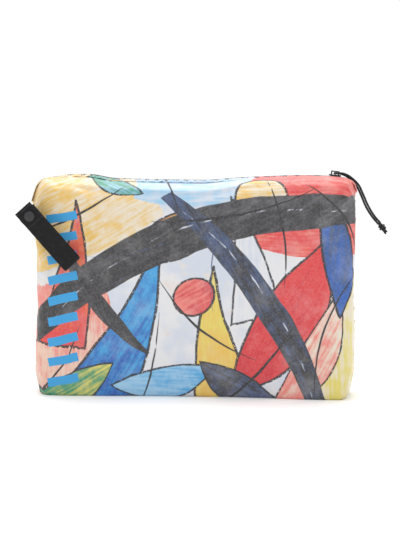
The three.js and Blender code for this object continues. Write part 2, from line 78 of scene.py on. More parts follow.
STRAP_REACH = 0.077
STRAP_SLOPE = math.radians(48.5)
STRAP_LOOP_GAP = 0.005
STRAP_WALL = 0.0015
STRAP_BEND = 0.003

# How a panel wraps from the middle of its face (ring 0) to its seams (ring 1)
RING_COLUMNS = ("ring", "reach", "wall", "depth", "lift")
RINGS = (
    (0.0, 0.0, 0.0, 1.0, 1.0),
    (0.35, 0.46, 0.0, 1.0, 1.0),
    (0.7, 0.9, 0.0, 0.985, 1.0),
    (0.76, 0.955, 0.03, 0.945, 1.0),
    (0.82, 0.99, 0.13, 0.84, 0.8),
    (0.88, 1.0, 0.38, 0.62, 0.4),
    (0.94, 1.0, 0.72, 0.32, 0.0),
    (1.0, 1.0, 1.0, 0.0, 0.0),
)

# Side outlines from the lower boxed corner (at -1) to the upper one (at 1)
OUTLINE_COLUMNS = ("at", "seam", "edge")
LEFT_OUTLINE = (
    (-1.0, 1.022, 0.985),
    (-0.86, 1.004, 0.985),
    (-0.5, 0.988, 0.972),
    (-0.1, 0.983, 0.966),
    (0.26, 0.987, 0.967),
    (0.5, 1.0, 0.978),
    (0.8, 1.012, 0.98),
    (1.0, 1.025, 0.95),
)
RIGHT_OUTLINE = (
    (-1.0, 0.998, 0.98),
    (-0.85, 1.004, 0.99),
    (-0.55, 1.005, 0.99),
    (-0.1, 0.997, 0.983),
    (0.2, 0.99, 0.972),
    (0.45, 0.998, 0.98),
    (0.7, 1.0, 0.982),
    (0.9, 0.998, 0.975),
    (1.0, 1.01, 0.96),
)

# Along the width: heights of the crest, the crease, the floor and the sill, and the depths
LENGTH_COLUMNS = ("at", "crest", "crease", "floor", "sill", "front", "back")
LENGTHWISE = (
    (-1.0, 0.885, 0.85, 0.1, 0.0, 0.88, 0.86),
    (-0.985, 0.922, 0.885, 0.045, 0.0, 0.91, 0.88),
    (-0.96, 0.962, 0.92, 0.006, 0.0, 0.95, 0.92),
    (-0.93, 0.981, 0.943, 0.0, 0.0, 0.98, 0.95),
    (-0.86, 0.9885, 0.943, 0.0, 0.0, 1.02, 0.98),
    (-0.77, 0.998, 0.937, 0.0, 0.002, 1.02, 1.0),
    (-0.66, 0.999, 0.92, 0.0, 0.005, 1.0, 1.03),
    (-0.5, 0.982, 0.91, 0.0, 0.01, 0.98, 1.03),
    (-0.3, 0.977, 0.905, 0.0, 0.016, 0.95, 1.0),
    (0.05, 0.974, 0.896, 0.0, 0.021, 0.93, 0.97),
    (0.25, 0.984, 0.925, 0.0, 0.021, 0.96, 0.97),
    (0.4, 0.99, 0.948, 0.0, 0.016, 1.0, 1.0),
    (0.7, 0.997, 0.965, 0.0, 0.0, 1.1, 1.03),
    (0.85, 0.994, 0.965, 0.0, 0.0, 1.16, 1.0),
    (0.95, 0.983, 0.948, 0.002, 0.0, 1.12, 0.94),
    (0.98, 0.971, 0.935, 0.022, 0.0, 1.04, 0.9),
    (1.0, 0.938, 0.905, 0.09, 0.0, 0.96, 0.86),
)

# Folds and dents: from one place of the face to another, the width as a share of the height
# and the rise as a share of the fold depth
FRONT_FOLDS = (
    (-0.9, 0.9, -0.52, 0.42, 0.05, -0.5),
    (-0.86, 0.35, -0.84, -0.5, 0.045, -0.45),
    (-0.93, -0.93, -0.58, -0.5, 0.05, -0.55),
    (-0.45, 0.78, 0.2, 0.72, 0.05, -0.4),
    (0.92, 0.88, 0.5, 0.15, 0.055, -0.75),
    (0.9, 0.12, 0.66, 0.02, 0.05, -0.55),
    (0.86, -0.1, 0.84, -0.6, 0.05, 0.4),
    (0.94, -0.92, 0.6, -0.45, 0.055, -0.8),
    (-0.3, -0.8, 0.35, -0.76, 0.06, -0.35),
)
BACK_FOLDS = (
    (-0.92, 0.9, -0.5, 0.35, 0.055, -0.6),
    (0.92, 0.9, 0.55, 0.4, 0.055, -0.6),
    (-0.93, -0.92, -0.55, -0.45, 0.055, -0.6),
    (0.93, -0.92, 0.6, -0.5, 0.055, -0.6),
    (-0.4, 0.74, 0.4, 0.78, 0.06, -0.5),
)


# Curves through tables
def along(rows, columns, wanted, places):
    """One column of a table at given places, as a smooth curve that never overshoots its rows."""
    table = np.array(rows)
    at = table[:, 0]
    value = table[:, columns.index(wanted)]
    places = np.clip(places, at[0], at[-1])
    slope = np.diff(value) / np.diff(at)
    before, after = slope[:-1], slope[1:]
    total = np.where(before * after > 0, before + after, 1)
    inner = np.where(before * after > 0, 2 * before * after / total, 0)
    tangent = np.concatenate([slope[:1], inner, slope[-1:]])
    i = np.clip(np.searchsorted(at, places, side="right") - 1, 0, len(at) - 2)
    span = at[i + 1] - at[i]
    t = (places - at[i]) / span
    start = value[i] * (1 + 2 * t) * (1 - t) ** 2 + span * tangent[i] * t * (1 - t) ** 2
    end = value[i + 1] * t * t * (3 - 2 * t) - span * tangent[i + 1] * t * t * (1 - t)
    return start + end


def smoothstep(low, high, value):
    share = np.clip((value - low) / (high - low), 0, 1)
    return share * share * (3 - 2 * share)


SPLINE_STEPS = 24


def smooth_path(points, steps):
    """Points evenly spaced along a centripetal Catmull-Rom curve through the given ones."""
    points = np.array(points, float)
    first = 2 * points[0] - points[1]
    last = 2 * points[-1] - points[-2]
    padded = np.vstack([first, points, last])
    found = []
    for p0, p1, p2, p3 in zip(padded, padded[1:], padded[2:], padded[3:]):
        t1 = max(np.linalg.norm(p1 - p0), 1e-9) ** 0.5
        t2 = t1 + max(np.linalg.norm(p2 - p1), 1e-9) ** 0.5
        t3 = t2 + max(np.linalg.norm(p3 - p2), 1e-9) ** 0.5
        for t in np.linspace(t1, t2, SPLINE_STEPS, endpoint=False):
            a1 = p0 + (p1 - p0) * t / t1
            a2 = p1 + (p2 - p1) * (t - t1) / (t2 - t1)
            a3 = p2 + (p3 - p2) * (t - t2) / (t3 - t2)
            b1 = a1 + (a2 - a1) * t / t2
            b2 = a2 + (a3 - a2) * (t - t1) / (t3 - t1)
            found.append(b1 + (b2 - b1) * (t - t1) / (t2 - t1))
    found.append(points[-1])
    return evenly(np.array(found), steps)


def travelled(line):
    """How far along a line each of its points lies."""
    return np.concatenate([[0], np.cumsum(np.linalg.norm(np.diff(line, axis=0), axis=1))])


def at_places(points, known, places):
    """Points known at some places of a line, at other places of it."""
    return np.stack([np.interp(places, known, column) for column in points.T], axis=1)


def evenly(line, steps):
    """The same line with evenly spaced points."""
    gone = travelled(line)
    return at_places(line, gone, np.linspace(0, gone[-1], steps + 1))


# The panels' surface
Panel = namedtuple("Panel", "name facing depth_column bulge folds")
FRONT = Panel("front_panel", -1, "front", FRONT_BULGE, FRONT_FOLDS)
BACK = Panel("back_panel", 1, "back", BACK_BULGE, BACK_FOLDS)


def fold_rise(folds, across, up):
    """How far the folds raise or sink the face, in metres."""
    half = np.array([BAG_WIDTH / 2, BAG_HEIGHT / 2])
    here = np.stack([across, up], axis=-1) * half
    rise = np.zeros(across.shape)
    for across_from, up_from, across_to, up_to, width, height in folds:
        start = np.array([across_from, up_from]) * half
        line = np.array([across_to, up_to]) * half - start
        share = np.clip(((here - start) @ line) / (line @ line), 0, 1)
        away = np.linalg.norm(here - start - share[..., None] * line, axis=-1)
        taper = FOLD_ENDS + (1 - FOLD_ENDS) * np.sin(np.pi * share)
        rise += height * FOLD_DEPTH * taper * np.exp(-((away / (width * BAG_HEIGHT)) ** 2))
    return rise


def panel_points(panel, across, up, inset=0.0):
    """Points of a panel in its own frame, for arrays across and up that run from -1 to 1."""
    ring = np.maximum(np.maximum(np.abs(across), np.abs(up)), 1e-6)
    far_across = across / ring
    far_up = up / ring
    reach, wall, depth, lift = (along(RINGS, RING_COLUMNS, column, ring)
                                for column in RING_COLUMNS[1:])

    def outline(column):
        left = along(LEFT_OUTLINE, OUTLINE_COLUMNS, column, far_up)
        right = along(RIGHT_OUTLINE, OUTLINE_COLUMNS, column, far_up)
        return np.where(across < 0, left, right) * BAG_WIDTH / 2 - inset

    edge = outline("edge")
    seam = outline("seam")
    x = far_across * (edge * reach + (seam - edge) * wall)

    def height(column):
        return along(LENGTHWISE, LENGTH_COLUMNS, column, far_across) * BAG_HEIGHT

    middle = BAG_HEIGHT / 2
    crease = height("crease") - inset - middle
    crest = height("crest") - inset - middle
    base = middle - height("floor") - height("sill") * lift - inset
    upper = crease * reach + (crest - crease) * wall
    z = middle + far_up * np.where(far_up > 0, upper, base * reach)

    half_depth = along(LENGTHWISE, LENGTH_COLUMNS, panel.depth_column, across) * BODY_DEPTH / 2
    opening = smoothstep(OPENING_FROM, 1, far_up) * (ZIPPER_OPENING - SEAM_GAP) / 2
    swell = panel.bulge * (1 - across**2) * (1 - up**2)
    relief = fold_rise(panel.folds, across, up) * smoothstep(0, FOLD_FADE, 1 - ring)
    y = SEAM_GAP / 2 + opening + (half_depth - opening - inset) * depth + swell + relief
    return np.stack([x, panel.facing * y, z], axis=-1)


def cloth_lines(lengthwise):
    """The lines of the panels' grid from -1 to 1. The walls have the same lines both ways, so
    that the seams of the boxed corners run through their crossings."""
    fine = np.linspace(0, 1, 1001)
    still = np.zeros_like(fine)
    wall = np.linspace(FACE_SHARE, 1, 301)
    across = panel_points(FRONT, wall, np.zeros_like(wall))
    gone = travelled(across)
    walls = np.interp(np.linspace(0, gone[-1], WALL_STEPS + 1), gone, wall)
    points = panel_points(FRONT, fine, still) if lengthwise else panel_points(FRONT, still, fine)
    middle = np.ptp(points[fine <= FACE_SHARE, 0 if lengthwise else 2])
    steps = 2 * int(round(middle / CLOTH_STEP / 2))
    face = FACE_SHARE * np.arange(1, steps) / steps
    half = np.concatenate([face, walls])
    return np.concatenate([-half[::-1], [0.0], half])


def wall_places(panel, share, ring, upright, sign):
    """Where the flat cloth of one wall has the places that lie at a share of its length and at
    a ring, in metres from the middle of the face, across the wall's length."""
    shares = np.linspace(-1, 1, WALL_SHARES + 1)
    rings = np.linspace(FACE_SHARE, 1, WALL_RINGS + 1)
    along_wall, outward = np.meshgrid(shares, rings, indexing="ij")
    if upright:
        points = panel_points(panel, sign * outward, along_wall * outward)[..., [0, 1]]
        start = points[:, :1, 0]
    else:
        points = panel_points(panel, along_wall * outward, sign * outward)[..., [2, 1]]
        start = points[:, :1, 0] - BAG_HEIGHT / 2
    steps = np.linalg.norm(np.diff(points, axis=1), axis=-1)
    gone = np.concatenate([np.zeros((len(shares), 1)), np.cumsum(steps, axis=1)], axis=1)
    table = start + sign * gone
    i = np.clip((share + 1) / 2 * WALL_SHARES, 0, WALL_SHARES - 0.001)
    j = np.clip((ring - FACE_SHARE) / (1 - FACE_SHARE) * WALL_RINGS, 0, WALL_RINGS - 0.001)
    low_i, low_j = i.astype(int), j.astype(int)
    i, j = i - low_i, j - low_j
    low = table[low_i, low_j] * (1 - j) + table[low_i, low_j + 1] * j
    high = table[low_i + 1, low_j] * (1 - j) + table[low_i + 1, low_j + 1] * j
    return low * (1 - i) + high * i


# Where the panels' own frame lies in the CAD's: its left end and the plane of the seams
sample = np.linspace(-1, 1, 401)
whole = panel_points(FRONT, *np.meshgrid(sample, sample, indexing="ij"))
front_low, front_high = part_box("front_panel")
back_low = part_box("back_panel")[0]
SHIFT = np.array([
    front_low.x - whole[..., 0].min(),
    (front_high.y + back_low.y) / 2,
    0.0,
])


# Objects and meshes
def new_object(name, data):
    thing = bpy.data.objects.new(name, data)
    bpy.context.scene.collection.objects.link(thing)
    return thing


def covered(piece, material):
    """The same piece with one material."""
    piece.data.materials.clear()
    piece.data.materials.append(material)
    return piece


def stands_in(piece, node):
    """Lets a piece ride the bag in the place of a CAD node."""
    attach(piece, "root")
    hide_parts(node)


def mesh_object(name, points, faces, uv=None, corner_uv=None):
    """A smooth mesh. uv is a place per point, corner_uv a place per corner of the faces."""
    mesh = bpy.data.meshes.new(name)
    mesh.from_pydata([tuple(p) for p in points], [], [tuple(f) for f in faces])
    if uv is not None:
        index = np.zeros(len(mesh.loops), np.int32)
        mesh.loops.foreach_get("vertex_index", index)
        corner_uv = np.asarray(uv)[index]
    if corner_uv is not None:
        layer = mesh.uv_layers.new(name="cloth")
        layer.data.foreach_set("uv", np.asarray(corner_uv, np.float32).ravel())
    mesh.polygons.foreach_set("use_smooth", [True] * len(mesh.polygons))
    mesh.update()
    return new_object(name, mesh)


def grid_faces(rows, columns, flip=False, closed=False):
    """Quads between the points of a grid, whose columns may close round to the first."""
    i, j = np.meshgrid(np.arange(rows - 1), np.arange(columns if closed else columns - 1),
                       indexing="ij")
    k = (j + 1) % columns
    quads = np.stack([i * columns + j, (i + 1) * columns + j,
                      (i + 1) * columns + k, i * columns + k], axis=-1).reshape(-1, 4)
    return quads[:, ::-1] if flip else quads


def capped_faces(rings, sides):
    """Faces round rings of points one after another, with a cap at both ends."""
    faces = [list(face) for face in grid_faces(rings, sides, flip=True, closed=True)]
    count = rings * sides
    return faces + [list(range(sides - 1, -1, -1)), list(range(count - sides, count))]


def applied(piece):
    """Puts the result of a piece's modifiers into its mesh."""
    depsgraph = bpy.context.evaluated_depsgraph_get()
    result = bpy.data.meshes.new_from_object(piece.evaluated_get(depsgraph),
                                             preserve_all_data_layers=True, depsgraph=depsgraph)
    old = piece.data
    piece.modifiers.clear()
    piece.data = result
    bpy.data.meshes.remove(old)


def unit_vectors(vectors):
    return vectors / np.linalg.norm(vectors, axis=-1, keepdims=True)


def normals_of(grid):
    """Unit normals of a grid of points, square to its rows and columns."""
    down = np.gradient(grid, axis=0)
    side = np.gradient(grid, axis=1)
    normal = np.cross(down, side)
    return normal / np.maximum(np.linalg.norm(normal, axis=-1, keepdims=True), 1e-12)


WAVE_PARTS = 7


def wavy(places, seed, wavelength):
    """Smooth irregular waves along a seam, mostly between -1 and 1."""
    chance = np.random.RandomState(seed)
    total = np.zeros_like(places)
    for _ in range(WAVE_PARTS):
        turns = 2 * np.pi / (wavelength * chance.uniform(0.6, 2.2))
        total += np.sin(places * turns + chance.uniform(0, 2 * np.pi)) / WAVE_PARTS**0.5
    return total


# Camera, at the photograph's angle
PHOTO_AZIMUTH = math.radians(5)
PHOTO_ELEVATION = math.radians(6)
CAMERA_DISTANCE = 1.6
CAMERA_LENS = 100.5
PHOTO_LONG_SIDE = 551
AIM = Vector((0.00815, 0.0038, 0.1155))
AIM_LEFT_OF_MIDDLE = 3.75
AIM_BELOW_MIDDLE = 7.5


def place_camera():
    flat = math.cos(PHOTO_ELEVATION)
    back = Vector((math.sin(PHOTO_AZIMUTH) * flat, -math.cos(PHOTO_AZIMUTH) * flat,
                   math.sin(PHOTO_ELEVATION)))
    lens = bpy.data.cameras.new("camera")
    lens.sensor_width = 36
    lens.lens = CAMERA_LENS
    lens.shift_x = AIM_LEFT_OF_MIDDLE / PHOTO_LONG_SIDE
    lens.shift_y = AIM_BELOW_MIDDLE / PHOTO_LONG_SIDE
    camera = new_object("camera", lens)
    camera.rotation_mode = "QUATERNION"
    camera.location = AIM + back * CAMERA_DISTANCE
    camera.rotation_quaternion = (-back).to_track_quat("-Z", "Y")
    bpy.context.scene.camera = camera


place_camera()


# Material tools
class Shader:
    """A node material with a Principled shader, and short calls for its nodes."""

    def __init__(self, name, **settings):
        self.material = bpy.data.materials.new(name)
        self.material.use_nodes = True
        self.tree = self.material.node_tree
        self.principled = self.tree.nodes["Principled BSDF"]
        for socket, value in settings.items():
            self.principled.inputs[socket.replace("_", " ")].default_value = value

    @classmethod
    def inside(cls, group):
        """The same calls for a node group."""
        shader = cls.__new__(cls)
        shader.tree = group
        return shader

    def node(self, kind, **settings):
        node = self.tree.nodes.new(kind)
        for key, value in settings.items():
            setattr(node, key, value)
        return node

    def feed(self, socket, value):
        if isinstance(value, bpy.types.NodeSocket):
            self.tree.links.new(value, socket)
        else:
            socket.default_value = value

    def maths(self, operation, first, second=0.0, third=0.0):
        node = self.node("ShaderNodeMath", operation=operation)
        for socket, value in zip(node.inputs, (first, second, third)):
            self.feed(socket, value)
        return node.outputs[0]

    def vector(self, operation, *values):
        """The node of a vector operation on values or sockets."""
        node = self.node("ShaderNodeVectorMath", operation=operation)
        for socket, value in zip(node.inputs, values):
            self.feed(socket, value)
        return node

    def scaled(self, vector, factors):
        return self.vector("MULTIPLY", vector, factors).outputs[0]

    def mapped(self, vector, vector_type="POINT", **places):
        node = self.node("ShaderNodeMapping", vector_type=vector_type)
        self.feed(node.inputs["Vector"], vector)
        for socket, value in places.items():
            node.inputs[socket].default_value = value
        return node.outputs[0]

    def own_uv(self, factor):
        """The piece's own UV map, in metres times a factor."""
        place = self.node("ShaderNodeUVMap", uv_map="cloth").outputs[0]
        return self.scaled(place, (factor, factor, factor))

    def millimetres(self):
        """The place on the piece, in millimetres."""
        place = self.node("ShaderNodeTexCoord").outputs["Object"]
        return self.scaled(place, (1000, 1000, 1000))

    def bands(self, vector, scale, direction="X", distortion=0.0):
        wave = self.node("ShaderNodeTexWave", wave_type="BANDS", bands_direction=direction)
        self.feed(wave.inputs["Vector"], vector)
        wave.inputs["Scale"].default_value = scale
        wave.inputs["Distortion"].default_value = distortion
        return wave.outputs[1]

    def noise(self, vector, scale, detail=3.0, roughness=0.55, offset=0.0):
        node = self.node("ShaderNodeTexNoise", noise_dimensions="4D")
        self.feed(node.inputs["Vector"], vector)
        node.inputs["W"].default_value = offset
        node.inputs["Scale"].default_value = scale
        node.inputs["Detail"].default_value = detail
        node.inputs["Roughness"].default_value = roughness
        return node.outputs[0]

    def step(self, value, low, high, to_low=0.0, to_high=1.0):
        node = self.node("ShaderNodeMapRange", interpolation_type="SMOOTHSTEP")
        for key, item in (("Value", value), ("From Min", low), ("From Max", high),
                          ("To Min", to_low), ("To Max", to_high)):
            self.feed(node.inputs[key], item)
        return node.outputs[0]

    def mix(self, share, first, second, blend="MIX"):
        node = self.node("ShaderNodeMix", data_type="RGBA", blend_type=blend)
        self.feed(node.inputs[0], share)
        self.feed(node.inputs[6], first)
        self.feed(node.inputs[7], second)
        return node.outputs[2]

    def bump(self, height, distance, strength=1.0, after=None):
        node = self.node("ShaderNodeBump")
        node.inputs["Strength"].default_value = strength
        node.inputs["Distance"].default_value = distance
        self.feed(node.inputs["Height"], height)
        if after is not None:
            self.feed(node.inputs["Normal"], after)
        return node.outputs[0]

    def finish(self, colour=None, roughness=None, normal=None):
        for key, value in (("Base Color", colour), ("Roughness", roughness), ("Normal", normal)):
            if value is not None:
                self.feed(self.principled.inputs[key], value)
        return self.material


def rgb(red, green, blue):
    """A colour as seen, from 0 to 255 a channel, as linear light."""
    return tuple(((c / 255 + 0.055) / 1.055) ** 2.4 if c > 10 else c / 255 / 12.92
                 for c in (red, green, blue)) + (1.0,)


# Tubes
def frames_along(line):
    """Tangents and two steady cross directions along a line."""
    tangent = unit_vectors(np.gradient(line, axis=0))
    across = [unit_vectors(np.cross(tangent[0], [0.0, 1.0, 0.0]))]
    for direction in tangent[1:]:
        across.append(unit_vectors(across[-1] - direction * (across[-1] @ direction)))
    across = np.array(across)
    return tangent, across, np.cross(tangent, across)


def tube(line, radius, sides, round_ends=True):
    """Points, faces and UVs of a tube along a line, whose closed ends may be rounded."""
    line = np.asarray(line, float)
    tangent, across, upright = frames_along(line)
    gone = travelled(line)
    rings = [(line[n], radius, gone[n], across[n], upright[n]) for n in range(len(line))]
    if round_ends:
        for end, sign in ((0, -1), (-1, 1)):
            for share in (0.5, 0.85, 0.98):
                ring = (line[end] + sign * tangent[end] * radius * share,
                        radius * math.sqrt(1 - share**2), gone[end] + sign * radius * share,
                        across[end], upright[end])
                rings.insert(0 if sign < 0 else len(rings), ring)
    angles = 2 * np.pi * np.arange(sides) / sides
    points, uv = [], []
    for middle, size, place, side, high in rings:
        for angle in angles:
            points.append(middle + size * (math.cos(angle) * side + math.sin(angle) * high))
            uv.append((angle / (2 * math.pi), place))
    faces = capped_faces(len(rings), sides)
    corner_uv = []
    for face in faces:
        columns = [n % sides for n in face]
        wraps = len(face) == 4 and max(columns) - min(columns) > 1
        for n in face:
            turned, place = uv[n]
            corner_uv.append((1.0 if wraps and n % sides == 0 else turned, place))
    return np.array(points), faces, corner_uv


def merged(name, parts, material):
    """One mesh of several closed parts, each as points, faces and UVs."""
    points, faces, corner_uv = [], [], []
    for part_points, part_faces, part_uv in parts:
        start = len(points)
        points.extend(part_points)
        faces.extend([[start + n for n in face] for face in part_faces])
        corner_uv.extend(part_uv)
    return covered(mesh_object(name, points, faces, corner_uv=corner_uv), material)


# Pull cord
BRAID_LEAN = 8.0
BRAID_PITCH = 2600.0


def cord_finish():
    """Braided cord: strands that cross both ways round it, read from its own UV map."""
    shader = Shader("cord braid", Roughness=0.7, Sheen_Weight=0.1, Sheen_Roughness=0.4)
    place = shader.own_uv(1)
    braid = []
    for lean in (BRAID_LEAN, -BRAID_LEAN):
        turn = shader.vector("DOT_PRODUCT", place, (lean * math.pi, BRAID_PITCH, 0))
        braid.append(shader.maths("SINE", turn.outputs["Value"]))
    weave = shader.maths("MAXIMUM", braid[0], braid[1])
    # Painted highlight and shade: the colour is lighter where a strand rises and darker in the
    # gaps between the strands.
    tone = shader.step(weave, -0.6, 1.0)
    colour = shader.mix(tone, rgb(7, 7, 8), rgb(24, 24, 26))
    return shader.finish(colour, normal=shader.bump(tone, 0.0002, 0.7))


# Routes of its two strands, in millimetres from the middle of the slider's bridge
FRONT_STRAND = (
    (0.0, -0.15, 0.0), (0.2, -1.8, 0.0), (1.4, -2.75, 0.0), (3.2, -2.9, 0.0), (5.2, -2.6, 0.1),
    (8.4, -1.9, -0.2), (12.8, -1.3, -1.7), (19.0, -0.6, -6.0), (24.9, 0.0, -12.3),
    (29.3, 0.0, -21.4), (35.0, 0.0, -34.0), (41.8, 0.0, -44.6), (47.2, 0.0, -50.6),
)
BACK_STRAND = (
    (0.0, 0.15, 0.0), (0.2, 1.8, 0.0), (1.4, 2.75, 0.0), (3.2, 2.9, -0.1), (5.2, 2.6, -0.4),
    (8.0, 1.9, -1.2), (12.0, 1.3, -3.0), (17.4, 0.6, -7.3), (22.9, 0.0, -13.4),
    (27.2, 0.0, -22.4), (32.9, 0.0, -35.2), (39.9, 0.0, -45.8), (45.3, 0.0, -52.0),
)
CORD_STEPS = 150
CORD_SIDES = 20
SLIDER_FROM_SEAM = 0.021
SLIDER_LENGTH = 0.0125
CORD_SEAT = 0.0056
KNOT_PLACE = (0.0491, 0.0, -0.0552)
KNOT_LEAN = math.atan2(3.9, 2.9)
KNOT_TURNS = 2.5
KNOT_LENGTH = 0.0066
KNOT_COIL_RADIUS = 0.0025
KNOT_CORD_RADIUS = 0.00125
KNOT_CORE = (-0.0042, 0.0035)
KNOT_CORE_RADIUS = 0.0019
KNOT_SIDES = 14
TAIL_START = 0.0022
TAIL_LENGTH = 0.0048
TAIL_SPREAD = ((-0.05, 1.0), (0.06, 0.8))
TAIL_APART = 0.0007
TAIL_FORWARD = 0.0006
BRAID_FUZZ = 0.0001


def bridge_middle():
    """The middle of the opening of the slider's bridge, above the tapes' top edge."""
    edge = panel_points(FRONT, np.linspace(0.6, 0.98, 200), np.ones(200), CLOTH_WALL + SEAM_GAP)
    middle = BAG_WIDTH / 2 - SLIDER_FROM_SEAM
    ends = [middle - SLIDER_LENGTH / 2, middle + SLIDER_LENGTH / 2]
    height = np.interp(ends, edge[:, 0], edge[:, 2]).mean()
    return np.array([middle, 0, height + CORD_SEAT]) + SHIFT


def knot_piece(bridge, material):
    """The knot: a few turns of the cord round its own core, and two short tails."""
    axis = np.array([math.cos(KNOT_LEAN), 0, -math.sin(KNOT_LEAN)])
    side = np.array([math.sin(KNOT_LEAN), 0, math.cos(KNOT_LEAN)])
    forward = np.array([0.0, -1.0, 0.0])
    middle = bridge + np.array(KNOT_PLACE)
    share = np.linspace(0, 1, 90)
    turn = share * KNOT_TURNS * 2 * math.pi
    swell = (KNOT_COIL_RADIUS * np.sin(np.pi * share) ** 0.35)[:, None]
    coil = (middle + axis * ((share - 0.5) * KNOT_LENGTH)[:, None]
            + (side * np.cos(turn)[:, None] + forward * np.sin(turn)[:, None]) * swell)
    core = middle + axis * np.linspace(*KNOT_CORE, 8)[:, None]
    parts = [tube(coil, KNOT_CORD_RADIUS, KNOT_SIDES), tube(core, KNOT_CORE_RADIUS, KNOT_SIDES)]
    for spread, reach in TAIL_SPREAD:
        outward = np.linspace(0, 1, 10)[:, None]
        tail = (middle + axis * (TAIL_START + outward * TAIL_LENGTH * reach)
                + side * (math.copysign(TAIL_APART, spread) + outward * TAIL_LENGTH * spread)
                + forward * outward**2 * TAIL_FORWARD)
        parts.append(tube(tail, CORD_DIAMETER / 2, KNOT_SIDES))
    knot = merged("cord_knot", parts, material)
    stands_in(knot, "pull_knot")
    return knot


def pull_cord():
    material = cord_finish()
    bridge = bridge_middle()
    knot = knot_piece(bridge, material)
    for name, route, node in (("cord_front", FRONT_STRAND, "pull_cord_front"),
                              ("cord_back", BACK_STRAND, "pull_cord_back")):
        line = smooth_path(np.array(route) / 1000, CORD_STEPS) + bridge
        body = tube(line, CORD_DIAMETER / 2 + BRAID_FUZZ, CORD_SIDES, round_ends=False)
        strand = merged(name, [body], material)
        stands_in(strand, node)


pull_cord()


# The print's paints
PAINT = {
    "canvas": rgb(207, 207, 209),
    "cream": rgb(212, 203, 186),
    "blush": rgb(216, 184, 164),
    "mist": rgb(190, 196, 207),
    "coral": rgb(204, 58, 58),
    "red": rgb(190, 38, 48),
    "salmon": rgb(214, 118, 108),
    "orange": rgb(210, 106, 56),
    "ochre": rgb(212, 172, 76),
    "lemon": rgb(208, 194, 92),
    "sky": rgb(50, 146, 200),
    "cobalt": rgb(24, 84, 164),
    "pale": rgb(140, 184, 212),
    "slate": rgb(60, 78, 114),
    "teal": rgb(44, 134, 100),
    "charcoal": rgb(38, 36, 38),
    "smoke": rgb(74, 72, 77),
    "ink": rgb(28, 26, 30),
}

# Motifs of the print, in millimetres on the flat cloth, in the order in which they are painted:
# place, angle in degrees, length, width, bend of the middle line, point (how far both ends
# narrow), taper (how far one end narrows), round or not, rough edge, outline, two paints, how
# much of the second, and how far it gathers at one end
MOTIF_COLUMNS = ("x", "y", "angle", "length", "width", "bend", "point", "taper", "round", "rough",
                 "outline", "paint", "second", "share", "fade")
MOTIFS = (
    (-124, 88, 20, 170, 124, 6, 0.1, 0.1, 0, 5, 0.0, "ochre", "cream", 0.45, 0.6),
    (124, 92, -6, 176, 124, 8, 0.1, 0.1, 0, 5, 0.0, "coral", "salmon", 0.45, 0.5),
    (-132, -70, 96, 150, 120, 0, 0.1, 0.1, 0, 6, 0.0, "blush", "salmon", 0.4, 0.8),
    (150, -66, 84, 170, 96, 0, 0.1, 0.1, 0, 6, 0.0, "lemon", "cream", 0.5, 0.6),
    (2, 122, -4, 120, 84, 0, 0.2, 0.1, 0, 6, 0.0, "pale", "mist", 0.5, 0.4),
    (-122, 14, 82, 150, 62, 6, 0.1, 1.0, 0, 2, 2.4, "coral", "orange", 0.45, 0.7),
    (-62, -44, 66, 206, 84, 12, 0.15, 1.0, 0, 1, 2.8, "cobalt", "sky", 0.55, 0.9),
    (24, -62, 97, 168, 80, -8, 0.15, 1.0, 0, 1, 2.8, "ochre", "lemon", 0.4, 0.7),
    (58, 34, 102, 128, 56, 6, 0.1, 1.0, 0, 1, 2.1, "canvas", "mist", 0.5, 0.5),
    (98, -36, 58, 190, 64, 12, 1.0, 0.0, 0, 2, 2.8, "red", "coral", 0.5, 0.8),
    (128, -72, 60, 150, 38, 16, 1.0, 0.0, 0, 2, 1.8, "salmon", "cream", 0.45, 0.8),
    (-16, 54, 24, 120, 44, -10, 1.0, 0.0, 0, 2, 2.4, "orange", "ochre", 0.5, 0.8),
    (150, 34, 100, 124, 34, 8, 1.0, 0.0, 0, 2, 2.4, "cobalt", "slate", 0.5, 0.6),
    (-28, -98, 12, 110, 34, 8, 1.0, 0.0, 0, 2, 2.1, "pale", "sky", 0.4, 0.6),
    (-120, -104, 24, 90, 32, 8, 1.0, 0.0, 0, 2, 2.1, "teal", "lemon", 0.35, 0.8),
    (-84, 112, -32, 70, 24, 6, 1.0, 0.0, 0, 2, 2.1, "teal", "pale", 0.4, 0.5),
    (70, 94, 0, 54, 50, 0, 0.0, 0.0, 1, 3, 2.4, "ochre", "cream", 0.5, 0.4),
    (2, -8, 20, 42, 38, 0, 0.0, 0.0, 1, 2, 2.1, "salmon", "red", 0.45, 0.6),
    (4, 60, 18, 390, 42, -46, 0.35, 0.0, 0, 1.5, 0.0, "charcoal", "smoke", 0.3, 0.3),
    (76, -14, 124, 300, 27, 24, 0.5, 0.0, 0, 1.5, 0.0, "charcoal", "slate", 0.4, 0.4),
    (46, -104, 152, 96, 34, -8, 1.0, 0.0, 0, 2, 1.8, "slate", "charcoal", 0.5, 0.6),
    (-96, -18, 128, 140, 17, -10, 0.8, 0.0, 0, 1.5, 0.0, "charcoal", "smoke", 0.3, 0.3),
)

